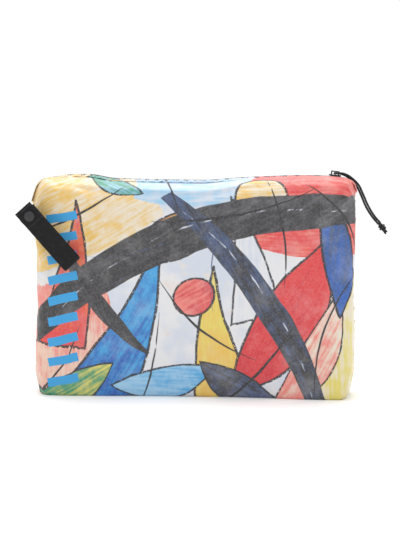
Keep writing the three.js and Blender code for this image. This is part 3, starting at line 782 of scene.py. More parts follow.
# Thin lines over the motifs: place, angle, length, width, bend, how worn, and paint
LINE_COLUMNS = ("x", "y", "angle", "length", "width", "bend", "worn", "paint")
LINES = (
    (4, 66, 18, 340, 1.6, -46, 0.5, "mist"),
    (10, 54, 18, 300, 1.2, -44, 0.56, "slate"),
    (78, -10, 124, 250, 1.4, 24, 0.5, "mist"),
    (-118, 74, 28, 130, 2.4, 8, 0.36, "ink"),
    (-30, 120, -62, 90, 2.1, -6, 0.36, "ink"),
    (44, 76, 12, 170, 2.7, 10, 0.34, "ink"),
    (92, 62, 100, 120, 2.1, 8, 0.38, "ink"),
    (8, -40, 140, 130, 2.4, -12, 0.36, "ink"),
    (-42, -84, 76, 120, 1.8, 6, 0.38, "ink"),
    (62, -92, 44, 140, 2.7, 10, 0.34, "ink"),
    (136, -40, 70, 140, 2.2, -14, 0.36, "ink"),
    (-142, -90, 52, 110, 2.1, 10, 0.38, "ink"),
    (-96, -116, 8, 100, 2.0, -5, 0.36, "ink"),
    (152, 76, 128, 100, 2.1, 9, 0.36, "ink"),
    (20, 26, 84, 96, 1.0, -7, 0.44, "slate"),
    (-60, 36, 12, 96, 1.0, 6, 0.46, "slate"),
)

# Marks of the bristles and the wandering of painted edges, in millimetres
BRISTLE_LENGTH = 44
BRISTLE_WIDTH = 3.4
BRISTLE_TURNS = 6
END_ROUGHNESS = 5
EDGE_WANDER = 6
EDGE_SOFTNESS = 0.45
RIM_SOFTNESS = 0.3
BAR_SOFTNESS = 0.2

# The column of plain bars near the left seam
BAR_X = -134
BAR_Y = -12
BAR_COUNT = 9
BAR_SPACING = 21
BAR_LENGTH = 33
BAR_WIDTH = 9
BAR_ANGLE = 12


def stroke(shader, place, motif, bristle=None):
    """How far a place lies inside one stroke, in millimetres, and where along it, from -1 to 1."""
    turn = math.radians(motif["angle"])
    relative = shader.vector("SUBTRACT", place, (motif["x"], motif["y"], 0)).outputs[0]

    def toward(direction):
        return shader.vector("DOT_PRODUCT", relative, direction).outputs["Value"]

    half = motif["length"] / 2
    share = shader.maths("DIVIDE", toward((math.cos(turn), math.sin(turn), 0)), half)
    square = shader.maths("MULTIPLY", share, share)
    across = toward((-math.sin(turn), math.cos(turn), 0))
    if motif.get("round"):
        radius = motif["width"] / 2
        wide = shader.maths("DIVIDE", across, radius)
        far = shader.maths("SQRT", shader.maths("MULTIPLY_ADD", wide, wide, square))
        inside = shader.maths("MULTIPLY_ADD", far, -radius, radius)
    else:
        aside = shader.maths("MULTIPLY_ADD", square, -motif.get("bend", 0), across)
        width = shader.maths("MULTIPLY_ADD", square, -motif.get("point", 0), 1.0)
        if motif.get("taper"):
            lean = motif["taper"] / 2
            width = shader.maths("MULTIPLY", width,
                                 shader.maths("MULTIPLY_ADD", share, -lean, 1.0 - lean))
        inside = shader.maths("MULTIPLY_ADD", width, motif["width"] / 2,
                              shader.maths("MULTIPLY", shader.maths("ABSOLUTE", aside), -1.0))
        end = shader.maths("MULTIPLY_ADD", shader.maths("ABSOLUTE", share), -half, half)
        if bristle is not None:
            ragged = shader.maths("SUBTRACT", bristle, 0.5)
            end = shader.maths("MULTIPLY_ADD", ragged, motif["rough"] * END_ROUGHNESS, end)
        inside = shader.maths("MINIMUM", inside, end)
    if bristle is not None:
        ragged = shader.maths("SUBTRACT", bristle, 0.5)
        inside = shader.maths("MULTIPLY_ADD", ragged, motif["rough"], inside)
    return inside, share


def painting():
    """The whole print as one group: a place on the flat cloth in millimetres to its colour."""
    group = bpy.data.node_groups.new("painting", "ShaderNodeTree")
    group.interface.new_socket("Place", in_out="INPUT", socket_type="NodeSocketVector")
    group.interface.new_socket("Colour", in_out="OUTPUT", socket_type="NodeSocketColor")
    shader = Shader.inside(group)
    given = shader.node("NodeGroupInput")
    result = shader.node("NodeGroupOutput")
    flat = given.outputs["Place"]

    wander = shader.node("ShaderNodeTexNoise")
    wander.inputs["Scale"].default_value = 0.018
    wander.inputs["Detail"].default_value = 2.0
    wander.inputs["Roughness"].default_value = 0.45
    shader.feed(wander.inputs["Vector"], flat)
    centred = shader.vector("SUBTRACT", wander.outputs["Color"], (0.5, 0.5, 0.5)).outputs[0]
    place = shader.vector("MULTIPLY_ADD", centred, (EDGE_WANDER, EDGE_WANDER, 0),
                          flat).outputs[0]

    blotch = shader.noise(flat, 0.018, 4.0, 0.6, 2.0)
    wash = shader.noise(flat, 0.03, 5.0, 0.65, 9.0)
    cloud = shader.noise(flat, 0.07, 4.0, 0.6, 14.0)
    grain = shader.noise(flat, 0.6, 3.0, 0.7, 4.0)
    bristles = []
    for n in range(BRISTLE_TURNS):
        marks = shader.mapped(place, "TEXTURE", Rotation=(0, 0, math.pi * n / BRISTLE_TURNS),
                              Scale=(BRISTLE_LENGTH, BRISTLE_WIDTH, 1))
        bristle = shader.noise(marks, 1.0, 3.0, 0.6, n)
        bristles.append(shader.maths("MULTIPLY_ADD", bristle, 0.55,
                                     shader.maths("MULTIPLY", cloud, 0.45)))

    def bristle_at(angle):
        return bristles[round(angle / 180 * BRISTLE_TURNS) % BRISTLE_TURNS]

    colour = shader.mix(shader.step(blotch, 0.42, 0.58), PAINT["canvas"], PAINT["mist"])
    colour = shader.mix(shader.step(wash, 0.54, 0.68), colour, PAINT["cream"])
    colour = shader.mix(shader.step(wash, 0.30, 0.42, 0.5, 0.0), colour, PAINT["blush"])
    thin = shader.step(wash, 0.45, 0.72, 0.0, 0.16)
    worn = shader.step(grain, 0.36, 0.46)

    for row in MOTIFS:
        motif = dict(zip(MOTIF_COLUMNS, row))
        bristle = bristle_at(motif["angle"])
        inside, share = stroke(shader, place, motif, bristle)
        edge = 0.66 - 0.32 * motif["share"]
        paint = shader.maths("MULTIPLY_ADD", share, 0.12 * motif["fade"], bristle)
        tone = shader.mix(shader.step(paint, edge - 0.12, edge + 0.12),
                          PAINT[motif["paint"]], PAINT[motif["second"]])
        tone = shader.mix(thin, tone, PAINT["canvas"])
        cover = shader.step(inside, -EDGE_SOFTNESS, EDGE_SOFTNESS)
        colour = shader.mix(cover, colour, tone)
        if motif["outline"]:
            away = shader.maths("ABSOLUTE", inside)
            half = shader.maths("MULTIPLY", bristle, motif["outline"])
            rim = shader.step(shader.maths("SUBTRACT", half, away), -RIM_SOFTNESS, RIM_SOFTNESS)
            colour = shader.mix(shader.maths("MULTIPLY", rim, worn), colour, PAINT["ink"])

    for row in LINES:
        line = dict(zip(LINE_COLUMNS, row), point=0.8, rough=1.2)
        bristle = bristle_at(line["angle"])
        inside, _ = stroke(shader, place, line, bristle)
        cover = shader.step(inside, -EDGE_SOFTNESS, EDGE_SOFTNESS)
        dry = shader.step(bristle, line["worn"], line["worn"] + 0.08)
        colour = shader.mix(shader.maths("MULTIPLY", cover, dry), colour, PAINT[line["paint"]])

    colour = shader.mix(shader.step(grain, 0.35, 0.7, 0.0, 0.09), colour, PAINT["canvas"])
    shader.feed(result.inputs["Colour"], colour)
    return group


PAINTING = painting()


# Where the turned print of the back lies, in millimetres
BACK_PRINT = (22, -16, 0)


def printed_cloth(name, turned):
    """Coated plain weave with an all-over painterly print, read from the cloth's own UV map."""
    shader = Shader(name, Roughness=0.42, Specular_IOR_Level=0.45, Sheen_Weight=0.25,
                    Sheen_Roughness=0.4)
    flat = shader.own_uv(1000)
    placed = shader.mapped(flat, Rotation=(0, 0, math.pi), Location=BACK_PRINT) if turned else flat
    print_node = shader.node("ShaderNodeGroup", node_tree=PAINTING)
    shader.feed(print_node.inputs[0], placed)
    colour = print_node.outputs[0]

    if not turned:
        middle = (BAR_COUNT - 1) / 2
        for n in range(BAR_COUNT):
            bar = {"x": BAR_X, "y": BAR_Y + (n - middle) * BAR_SPACING, "angle": BAR_ANGLE,
                   "length": BAR_LENGTH, "width": BAR_WIDTH}
            inside, _ = stroke(shader, flat, bar)
            cover = shader.step(inside, -BAR_SOFTNESS, BAR_SOFTNESS)
            colour = shader.mix(cover, colour, PAINT["sky"])

    weave = shader.maths("MULTIPLY", *(
        shader.bands(shader.mapped(flat, Rotation=(0, 0, turn)), 0.62, distortion=0.15)
        for turn in (0.0, math.pi / 2)))
    crinkle = shader.noise(flat, 0.11, 4.0, 0.5, 5.0)
    normal = shader.bump(crinkle, 0.0007, 0.5)
    normal = shader.bump(weave, 0.00004, 0.5, normal)
    roughness = shader.step(shader.noise(flat, 0.05, 3.0, 0.5, 6.0), 0.3, 0.7, 0.38, 0.5)
    return shader.finish(colour, roughness, normal)


print_front = printed_cloth("printed cloth", False)
print_back = printed_cloth("printed cloth of the back", True)


# Panels of cloth
ACROSS = cloth_lines(True)
UP = cloth_lines(False)


# How the settling cloth answers to stretching, bending and the push from inside
CLOTH_SETTINGS = {
    "quality": 8,
    "mass": 0.2,
    "tension_stiffness": 60,
    "compression_stiffness": 30,
    "shear_stiffness": 20,
    "bending_stiffness": 1.5,
    "tension_damping": 15,
    "compression_damping": 15,
    "shear_damping": 15,
    "vertex_group_mass": "held",
    "shrink_min": -0.012,
    "use_pressure": True,
    "uniform_pressure_force": 0.9,
}


def settled():
    """How the cloth of both panels settles between its seams under the push of what fills it,
    by a cloth simulation on every other line of their grids."""
    across, up = np.meshgrid(ACROSS[::2], UP[::2], indexing="ij")
    rows, columns = across.shape
    drawn = {panel: panel_points(panel, across, up) for panel in (FRONT, BACK)}
    points, faces, held = [], [], []
    number = {}
    for panel in (FRONT, BACK):
        index = np.zeros((rows, columns), int)
        for i in range(rows):
            for j in range(columns):
                sewn = i in (0, rows - 1) or j == 0
                if panel is BACK and sewn:
                    index[i, j] = number[FRONT][i, j]
                    continue
                index[i, j] = len(points)
                points.append(drawn[panel][i, j])
                if sewn or j >= columns - HELD_LINES:
                    held.append(index[i, j])
        number[panel] = index
        quads = grid_faces(rows, columns, flip=panel.facing < 0)
        faces.extend(index.ravel()[quads])
    bag = mesh_object("settling cloth", points, faces)
    group = bag.vertex_groups.new(name="held")
    group.add([int(n) for n in held], 1.0, "REPLACE")
    cloth = bag.modifiers.new("cloth", "CLOTH")
    for setting, value in CLOTH_SETTINGS.items():
        setattr(cloth.settings, setting, value)
    cloth.settings.effector_weights.gravity = SETTLE_GRAVITY
    cloth.collision_settings.use_collision = False
    scene = bpy.context.scene
    cloth.point_cache.frame_start = 1
    cloth.point_cache.frame_end = SETTLE_FRAMES
    for moment in range(1, SETTLE_FRAMES + 1):
        scene.frame_set(moment)
    result = bag.evaluated_get(bpy.context.evaluated_depsgraph_get()).to_mesh()
    found = np.zeros(len(points) * 3, np.float32)
    result.vertices.foreach_get("co", found)
    found = found.reshape(-1, 3)
    scene.frame_set(1)
    bpy.data.objects.remove(bag)
    moved = {}
    for panel in (FRONT, BACK):
        shift = found[number[panel]] - drawn[panel]
        shift[:, -HELD_LINES:] = 0
        size = np.linalg.norm(shift, axis=-1, keepdims=True)
        shift = shift * (SETTLE_MOST * np.tanh(size / SETTLE_MOST) / np.maximum(size, 1e-9))
        moved[panel] = between_lines(between_lines(shift).swapaxes(0, 1)).swapaxes(0, 1)
    return moved


def between_lines(grid):
    """The same grid with smooth rows between its rows."""
    padded = np.concatenate([2 * grid[:1] - grid[1:2], grid, 2 * grid[-1:] - grid[-2:-1]])
    middle = (9 * (padded[1:-2] + padded[2:-1]) - padded[:-3] - padded[3:]) / 16
    result = np.zeros((2 * len(grid) - 1,) + grid.shape[1:])
    result[::2] = grid
    result[1::2] = middle
    return result


# Puckers at the seams: their wavelength, how far they reach into the cloth, and their height
SIDE_PUCKER = (0.011, 0.010, 0.0005)
TOP_PUCKER = (0.009, 0.007, 0.00025)
BASE_PUCKER = (0.012, 0.008, 0.00025)
CORNER_PUCKER = (0.007, 0.008, 0.0008)
GROOVE_WIDTH = 0.0022
GROOVE_DEPTH = 0.0012
CORNER_SIZE = 0.11


def pucker(level, upright, seed):
    """The small ripples that stitching draws into the cloth along the seams, as a rise, for the
    places of the grid's lines on the flat cloth."""
    across, up = np.abs(ACROSS)[:, None], np.abs(UP)[None, :]
    beside = (level[-1] - np.abs(level))[:, None]
    below_top = (upright[-1] - upright)[None, :]
    above_base = (upright - upright[0])[None, :]
    rise = 0
    for n, (places, from_seam, there, (wavelength, reach, height)) in enumerate((
            (upright[None, :], beside, across > up, SIDE_PUCKER),
            (level[:, None], below_top, across < up, TOP_PUCKER),
            (level[:, None], above_base, across < up, BASE_PUCKER))):
        fading = np.exp(-from_seam / reach) * there
        rise = rise + wavy(places, seed + n, wavelength) * fading * height
    ring = np.maximum(across, up)
    from_corner = np.abs(across - up) * CORNER_SIZE
    corner = smoothstep(0.78, 0.9, ring) * (1 - smoothstep(0.97, 1, ring))
    rise = rise - np.exp(-((from_corner / GROOVE_WIDTH) ** 2)) * corner * GROOVE_DEPTH
    wavelength, reach, height = CORNER_PUCKER
    gather = wavy(ring * CORNER_SIZE, seed + 3, wavelength) * np.exp(-from_corner / reach)
    return rise + gather * corner * height


def panel_faces(rows, columns):
    """Quads of the grid and its allowances, split in two along the seams of the boxed corners,
    and whether each is on a side wall."""
    across = np.concatenate([[-1.1], ACROSS, [1.1]])
    up = np.concatenate([[-1.1], UP, [1.1, 1.2]])
    faces, side = [], []
    for i in range(rows - 1):
        for j in range(columns - 1):
            quad = [(i, j), (i + 1, j), (i + 1, j + 1), (i, j + 1)]
            far_across = abs(across[i] + across[i + 1]) / 2
            far_up = abs(up[j] + up[j + 1]) / 2
            if abs(far_across - far_up) > 1e-6 or far_across < FACE_SHARE:
                faces.append(quad)
                side.append(far_across > far_up)
                continue
            rising = (across[i] > 0) == (up[j] > 0)
            parts = ([0, 1, 2], [0, 2, 3]) if rising else ([0, 1, 3], [1, 2, 3])
            for part in parts:
                corners = [quad[n] for n in part]
                faces.append(corners)
                spread = np.mean([abs(across[m]) - abs(up[n]) for m, n in corners])
                side.append(spread > 0)
    return faces, side


def cloth_piece(name, panel, material, moved, seed):
    """One panel as thin cloth, moved as it settled, with its puckers, allowances and hem."""
    across, up = np.meshgrid(ACROSS, UP, indexing="ij")
    ring = np.maximum(np.maximum(np.abs(across), np.abs(up)), 1e-6)
    grid = panel_points(panel, across, up)
    x_place, z_place = grid[..., 0].copy(), grid[..., 2] - BAG_HEIGHT / 2

    def flat_place(share, upright, before, middle):
        """Places on the flat cloth: on its face as they are, on its walls as far as they go."""
        walls = np.where(before, wall_places(panel, share / ring, ring, upright, -1),
                         wall_places(panel, share / ring, ring, upright, 1))
        return np.where(ring > FACE_SHARE, walls, middle)

    side_place = flat_place(up, True, across < 0, x_place)
    level_place = flat_place(across, False, up < 0, z_place)
    level, upright = side_place[:, len(UP) // 2], level_place[len(ACROSS) // 2]
    if moved is not None:
        grid = grid + moved[panel]
    outward = normals_of(grid) * -panel.facing
    grid = grid + outward * pucker(level, upright, seed)[..., None]
    grid[:, :, 2] = np.maximum(grid[:, :, 2], FLOOR_CLEARANCE)

    # The seam allowances at the sides and the base, and the hem that turns under at the zipper
    left = grid[:1] + [SEAM_ALLOWANCE, 0, 0]
    right = grid[-1:] - [SEAM_ALLOWANCE, 0, 0]
    grid = np.concatenate([left, grid, right])
    base = grid[:, :1] + [0, 0, SEAM_ALLOWANCE]
    lip = grid[:, -1:] - [0, 0, CLOTH_THICKNESS]
    hem = grid[:, -1:] + [0, panel.facing * ZIPPER_HEM, -ZIPPER_HEM_DROP]
    grid = np.concatenate([base, grid, lip, hem], axis=1)
    x_place, z_place, side_place, level_place = (
        np.pad(place, ((1, 1), (1, 2)), mode="edge")
        for place in (x_place, z_place, side_place, level_place))
    side_place[0] -= SEAM_ALLOWANCE
    side_place[-1] += SEAM_ALLOWANCE
    level_place[:, 0] -= SEAM_ALLOWANCE
    level_place[:, -1] += ZIPPER_HEM
    rows, columns = grid.shape[:2]
    faces, side = panel_faces(rows, columns)
    if panel.facing < 0:
        faces = [face[::-1] for face in faces]
    corner_uv = []
    for face, at_side in zip(faces, side):
        for i, j in face:
            place = (side_place, z_place) if at_side else (x_place, level_place)
            corner_uv.append((place[0][i, j], place[1][i, j]))
    numbers = [[i * columns + j for i, j in face] for face in faces]
    piece = mesh_object(name, (grid + SHIFT).reshape(-1, 3), numbers, corner_uv=corner_uv)
    wall = piece.modifiers.new("thickness", "SOLIDIFY")
    wall.thickness = CLOTH_THICKNESS
    wall.offset = -1
    applied(piece)
    covered(piece, material)
    stands_in(piece, panel.name)


settling = settled()
cloth_piece("front_cloth", FRONT, print_front, settling, 5)
cloth_piece("back_cloth", BACK, print_back, settling, 11)


# Black finishes
def webbing_finish():
    """Ribbed woven webbing: fine ribs across it, painted highlight on their tops, some lint."""
    shader = Shader("webbing", Roughness=0.78, Sheen_Weight=0.12, Sheen_Roughness=0.4,
                    Specular_IOR_Level=0.25)
    flat = shader.own_uv(1000)
    ribs = shader.bands(flat, 0.42, "Y")
    threads = shader.bands(flat, 0.95)
    weave = shader.maths("MULTIPLY", ribs, shader.maths("MULTIPLY_ADD", threads, 0.45, 0.55))
    worn = shader.noise(flat, 0.22, 4.0, 0.6)
    lint = shader.step(shader.noise(flat, 1.9, 2.0, 0.5, 3.0), 0.68, 0.74)
    # Painted highlight and shade: the colour is lighter on the tops of the ribs and threads and
    # darker between them.
    colour = shader.mix(weave, rgb(9, 9, 10), rgb(30, 30, 32))
    colour = shader.mix(shader.step(worn, 0.45, 0.75, 0.0, 0.35), colour, rgb(46, 46, 49))
    colour = shader.mix(shader.maths("MULTIPLY", lint, 0.35), colour, rgb(120, 120, 122))
    return shader.finish(colour, normal=shader.bump(weave, 0.00022, 0.8))


TWILL = math.radians(32)


def tape_finish():
    """Herringbone tape, read from the place of the piece."""
    shader = Shader("zipper tape", Roughness=0.85, Sheen_Weight=0.3, Sheen_Roughness=0.5)
    place = shader.millimetres()
    left, right = (shader.mapped(place, Rotation=(0, 0, turn)) for turn in (TWILL, -TWILL))
    side = shader.step(shader.bands(place, 0.16, "Y"), 0.45, 0.55)
    twill = shader.mix(side, shader.bands(left, 0.6), shader.bands(right, 0.6))
    # Painted highlight and shade: the colour is lighter on the raised twill lines and darker
    # between them.
    colour = shader.mix(shader.maths("MULTIPLY", twill, 0.8), rgb(18, 18, 20), rgb(54, 54, 58))
    return shader.finish(colour, normal=shader.bump(twill, 0.00015, 0.7))


def plastic_finish(name, dark, light, roughness):
    """Moulded plastic or enamel: fine grain, faint scratches and slightly worn gloss."""
    shader = Shader(name, Roughness=roughness, Specular_IOR_Level=0.5)
    place = shader.millimetres()
    mottle = shader.noise(place, 0.5, 4.0, 0.6)
    grain = shader.noise(place, 6.0, 2.0, 0.5, 2.0)
    scratch = shader.noise(shader.scaled(place, (0.3, 6.0, 2.0)), 1.0, 3.0, 0.7, 5.0)
    colour = shader.mix(shader.step(mottle, 0.3, 0.7), dark, light)
    gloss = shader.step(scratch, 0.35, 0.65, roughness - 0.07, roughness + 0.12)
    return shader.finish(colour, gloss, shader.bump(grain, 0.00003, 0.5))


def thread_finish(name, dark, light):
    shader = Shader(name, Roughness=0.6, Sheen_Weight=0.3)
    place = shader.millimetres()
    twist = shader.noise(place, 4.0, 2.0, 0.5)
    colour = shader.mix(twist, dark, light)
    return shader.finish(colour, normal=shader.bump(twist, 0.0001, 0.6))


webbing = webbing_finish()
tape_cloth = tape_finish()
coil_nylon = plastic_finish("zipper coil", rgb(22, 22, 24), rgb(36, 36, 39), 0.42)
slider_enamel = plastic_finish("slider enamel", rgb(8, 8, 9), rgb(20, 20, 22), 0.3)
snap_plastic = plastic_finish("snap plastic", rgb(26, 26, 28), rgb(38, 38, 41), 0.4)
black_thread = thread_finish("black thread", rgb(20, 20, 22), rgb(60, 60, 64))


# Turned parts and rows that repeat
def lathe_piece(name, profile, centre, material, sides=64):
    """A turned piece whose axis points towards the front, from (radius, height) pairs."""
    points = []
    for radius, height in profile:
        for n in range(sides):
            angle = 2 * math.pi * n / sides
            points.append((centre[0] + radius * math.cos(angle), centre[1] - height,
                           centre[2] + radius * math.sin(angle)))
    return covered(mesh_object(name, points, capped_faces(len(profile), sides)), material)


def repeat_tree():
    """Units laid one by one along a path, turned with it, their tops to its named direction."""
    tree = bpy.data.node_groups.new("row of units", "GeometryNodeTree")
    tree.interface.new_socket("Geometry", in_out="INPUT", socket_type="NodeSocketGeometry")
    for name, kind in (("Unit", "NodeSocketObject"), ("Spacing", "NodeSocketFloat"),
                       ("Finish", "NodeSocketMaterial")):
        tree.interface.new_socket(name, in_out="INPUT", socket_type=kind)
    tree.interface.new_socket("Geometry", in_out="OUTPUT", socket_type="NodeSocketGeometry")
    nodes = tree.nodes
    given, result = nodes.new("NodeGroupInput"), nodes.new("NodeGroupOutput")
    curve = nodes.new("GeometryNodeMeshToCurve")
    spaced = nodes.new("GeometryNodeResampleCurve")
    spaced.mode = "LENGTH"
    unit = nodes.new("GeometryNodeObjectInfo")
    placed = nodes.new("GeometryNodeInstanceOnPoints")
    top = nodes.new("GeometryNodeInputNamedAttribute")
    top.data_type = "FLOAT_VECTOR"
    top.inputs["Name"].default_value = "top"
    tangent = nodes.new("GeometryNodeInputTangent")
    upright = nodes.new("FunctionNodeAlignRotationToVector")
    upright.axis = "Z"
    forward = nodes.new("FunctionNodeAlignRotationToVector")
    forward.axis = "X"
    forward.pivot_axis = "Z"
    real = nodes.new("GeometryNodeRealizeInstances")
    finish = nodes.new("GeometryNodeSetMaterial")
    for output, target in (
            (given.outputs["Geometry"], curve.inputs["Mesh"]),
            (curve.outputs[0], spaced.inputs["Curve"]),
            (given.outputs["Spacing"], spaced.inputs["Length"]),
            (given.outputs["Unit"], unit.inputs["Object"]),
            (spaced.outputs[0], placed.inputs["Points"]),
            (unit.outputs["Geometry"], placed.inputs["Instance"]),
            (top.outputs["Attribute"], upright.inputs["Vector"]),
            (upright.outputs[0], forward.inputs["Rotation"]),
            (tangent.outputs[0], forward.inputs["Vector"]),
            (forward.outputs[0], placed.inputs["Rotation"]),
            (placed.outputs[0], real.inputs[0]),
            (real.outputs[0], finish.inputs["Geometry"]),
            (given.outputs["Finish"], finish.inputs["Material"]),
            (finish.outputs[0], result.inputs[0])):
        tree.links.new(output, target)
    return tree


ROW_OF_UNITS = repeat_tree()


def row_piece(name, lines, tops, unit, spacing, material):
    """Units in rows along one or more lines, as one plain mesh."""
    points = np.concatenate(lines)
    mesh = bpy.data.meshes.new(name)
    edges, start = [], 0
    for line in lines:
        edges.extend((start + n, start + n + 1) for n in range(len(line) - 1))
        start += len(line)
    mesh.from_pydata([tuple(p) for p in points], edges, [])
    layer = mesh.attributes.new("top", "FLOAT_VECTOR", "POINT")
    layer.data.foreach_set("vector", np.concatenate(tops).astype(np.float32).ravel())
    piece = new_object(name, mesh)
    row = piece.modifiers.new("row", "NODES")
    row.node_group = ROW_OF_UNITS
    values = {"Unit": unit, "Spacing": spacing, "Finish": material}
    for item in ROW_OF_UNITS.interface.items_tree:
        if item.in_out == "INPUT" and item.name in values:
            row[item.identifier] = values[item.name]
    applied(piece)
    covered(piece, material)
    piece.data.polygons.foreach_set("use_smooth", [True] * len(piece.data.polygons))
    bpy.data.objects.remove(unit)
    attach(piece, "root")
    return piece


# Zipper: two rows of coil loops on the tapes, and the slider. A row's distance from the middle
# and half a loop are shares of the coil's width, and a loop's turn is in half circles
ZIP_PITCH = 0.00125
COIL_WIRE = 0.00036
COIL_WIDTH = 0.0046
COIL_HEIGHT = 0.0022
COIL_LEAN = 0.0002
COIL_ROW_OFF = 0.21
COIL_LOOP_HALF = 0.27
COIL_TURN = (-0.25, 1.1)
COIL_SIDES = 6
SLIDER_GAP = 0.0005
SLIDER_ROUNDING = 0.00028


def tape_line():
    """The line of the tapes' top edge along the bag."""
    across = np.linspace(-0.99, 0.99, 400)
    return panel_points(FRONT, across, np.ones_like(across), CLOTH_WALL + SEAM_GAP) + SHIFT


def coil_rows():
    edge = tape_line()
    coil_low, coil_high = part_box("zipper_coil")
    inside = (edge[:, 0] > coil_low.x) & (edge[:, 0] < coil_high.x - SLIDER_GAP)
    line = edge[inside]
    line[:, 1] = SHIFT[1]
    line[:, 2] += SEAM_GAP + COIL_WIRE
    top = np.tile([0.0, 0.0, 1.0], (len(line), 1))
    for n, side in enumerate((-1, 1)):
        turns = np.linspace(*COIL_TURN, 9) * np.pi
        loop = np.stack([
            COIL_LEAN * np.sin(turns * 2),
            side * (COIL_WIDTH * COIL_ROW_OFF + COIL_WIDTH * COIL_LOOP_HALF * np.cos(turns)),
            (COIL_HEIGHT / 2 - COIL_WIRE) * (1 + np.sin(turns)),
        ], axis=1)
        points, faces, corner_uv = tube(loop, COIL_WIRE, COIL_SIDES, round_ends=False)
        unit = mesh_object("coil loop", points, faces, corner_uv=corner_uv)
        start = np.array([ZIP_PITCH / 2 * n, 0, 0])
        name = ("coil_front", "coil_back")[n]
        piece = row_piece(name, [line + start], [top], unit, ZIP_PITCH, coil_nylon)
        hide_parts("zipper_coil")


coil_rows()


def slider_piece():
    """The slider with its edges rounded, from a merged copy of its CAD solid."""
    piece = new_object("slider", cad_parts["zipper_slider"].data.copy())
    weld = piece.modifiers.new("weld", "WELD")
    weld.merge_threshold = 0.00001
    flatten = piece.modifiers.new("flat faces", "DECIMATE")
    flatten.decimate_type = "DISSOLVE"
    flatten.angle_limit = math.radians(2)
    rounded = piece.modifiers.new("rounded edges", "BEVEL")
    rounded.width = SLIDER_ROUNDING
    rounded.segments = 3
    rounded.limit_method = "ANGLE"
    rounded.angle_limit = math.radians(35)
    applied(piece)
    covered(piece, slider_enamel)
    piece.data.polygons.foreach_set("use_smooth", [False] * len(piece.data.polygons))
    stands_in(piece, "zipper_slider")


slider_piece()
for node in ("zipper_tape_front", "zipper_tape_back"):
    covered(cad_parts[node], tape_cloth)

# Stitches, and the topstitching along both sides of the zipper
STITCH_SPACING = 0.0028
STITCH_LENGTH = 0.0022
STITCH_THREAD = 0.00045
STITCH_SIDES = 6
STITCH_ARCH = (0.9, 1.3)
STITCH_SUNK = 0.2
TOPSTITCH_REACH = 0.93
TOPSTITCH_UP = 0.988


def stitch_unit(length):
    """One stitch, whose thread arches out of the cloth and dips into it at its ends."""
    share = np.linspace(-1, 1, 7)
    line = np.stack([share * length / 2, 0 * share,
                     STITCH_THREAD * (STITCH_ARCH[0] - STITCH_ARCH[1] * share**2)], axis=1)
    points, faces, corner_uv = tube(line, STITCH_THREAD / 2, STITCH_SIDES, round_ends=False)
    return mesh_object("stitch", points, faces, corner_uv=corner_uv)


def surface_row(panel, up_place):
    """A line on a panel's surface along the zipper, with the outward direction there."""
    across = np.linspace(-TOPSTITCH_REACH, TOPSTITCH_REACH, 500)
    up = np.full_like(across, up_place)
    line = panel_points(panel, across, up)
    near = panel_points(panel, across, up - 0.01)
    direction = unit_vectors(np.cross(np.gradient(line, axis=0), near - line) * panel.facing)
    direction *= np.sign(direction[:, 2:3])
    return line + SHIFT + direction * STITCH_THREAD * STITCH_SUNK, direction


rows = [surface_row(panel, TOPSTITCH_UP) for panel in (FRONT, BACK)]
topstitching = row_piece("topstitching", [row[0] for row in rows], [row[1] for row in rows],
                         stitch_unit(STITCH_LENGTH), STITCH_SPACING, black_thread)


# Strap
STRAP_SEAM_UP = 0.75
STRAP_OUTREACH = 0.0046
STRAP_HEM_RISE = 0.0151
STRAP_HEM_TO_BEND = 0.004
STRAP_CLEARANCE = 0.0001
STRAP_STEP = 0.0006
STRAP_COLUMNS = 24
STRAP_RUN_STEPS = 28
STRAP_EDGE_FROM = 0.93
STRAP_EDGE_SHARE = 0.7
STRAP_RIPPLE = 0.00012
HEM_ROWS = (0.0025, 0.0195)
HEM_ROW_REACH = 0.46
HEM_ROW_POINTS = 12
HEM_STITCH_LENGTH = 0.0020
HEM_STITCH_SPACING = 0.0025


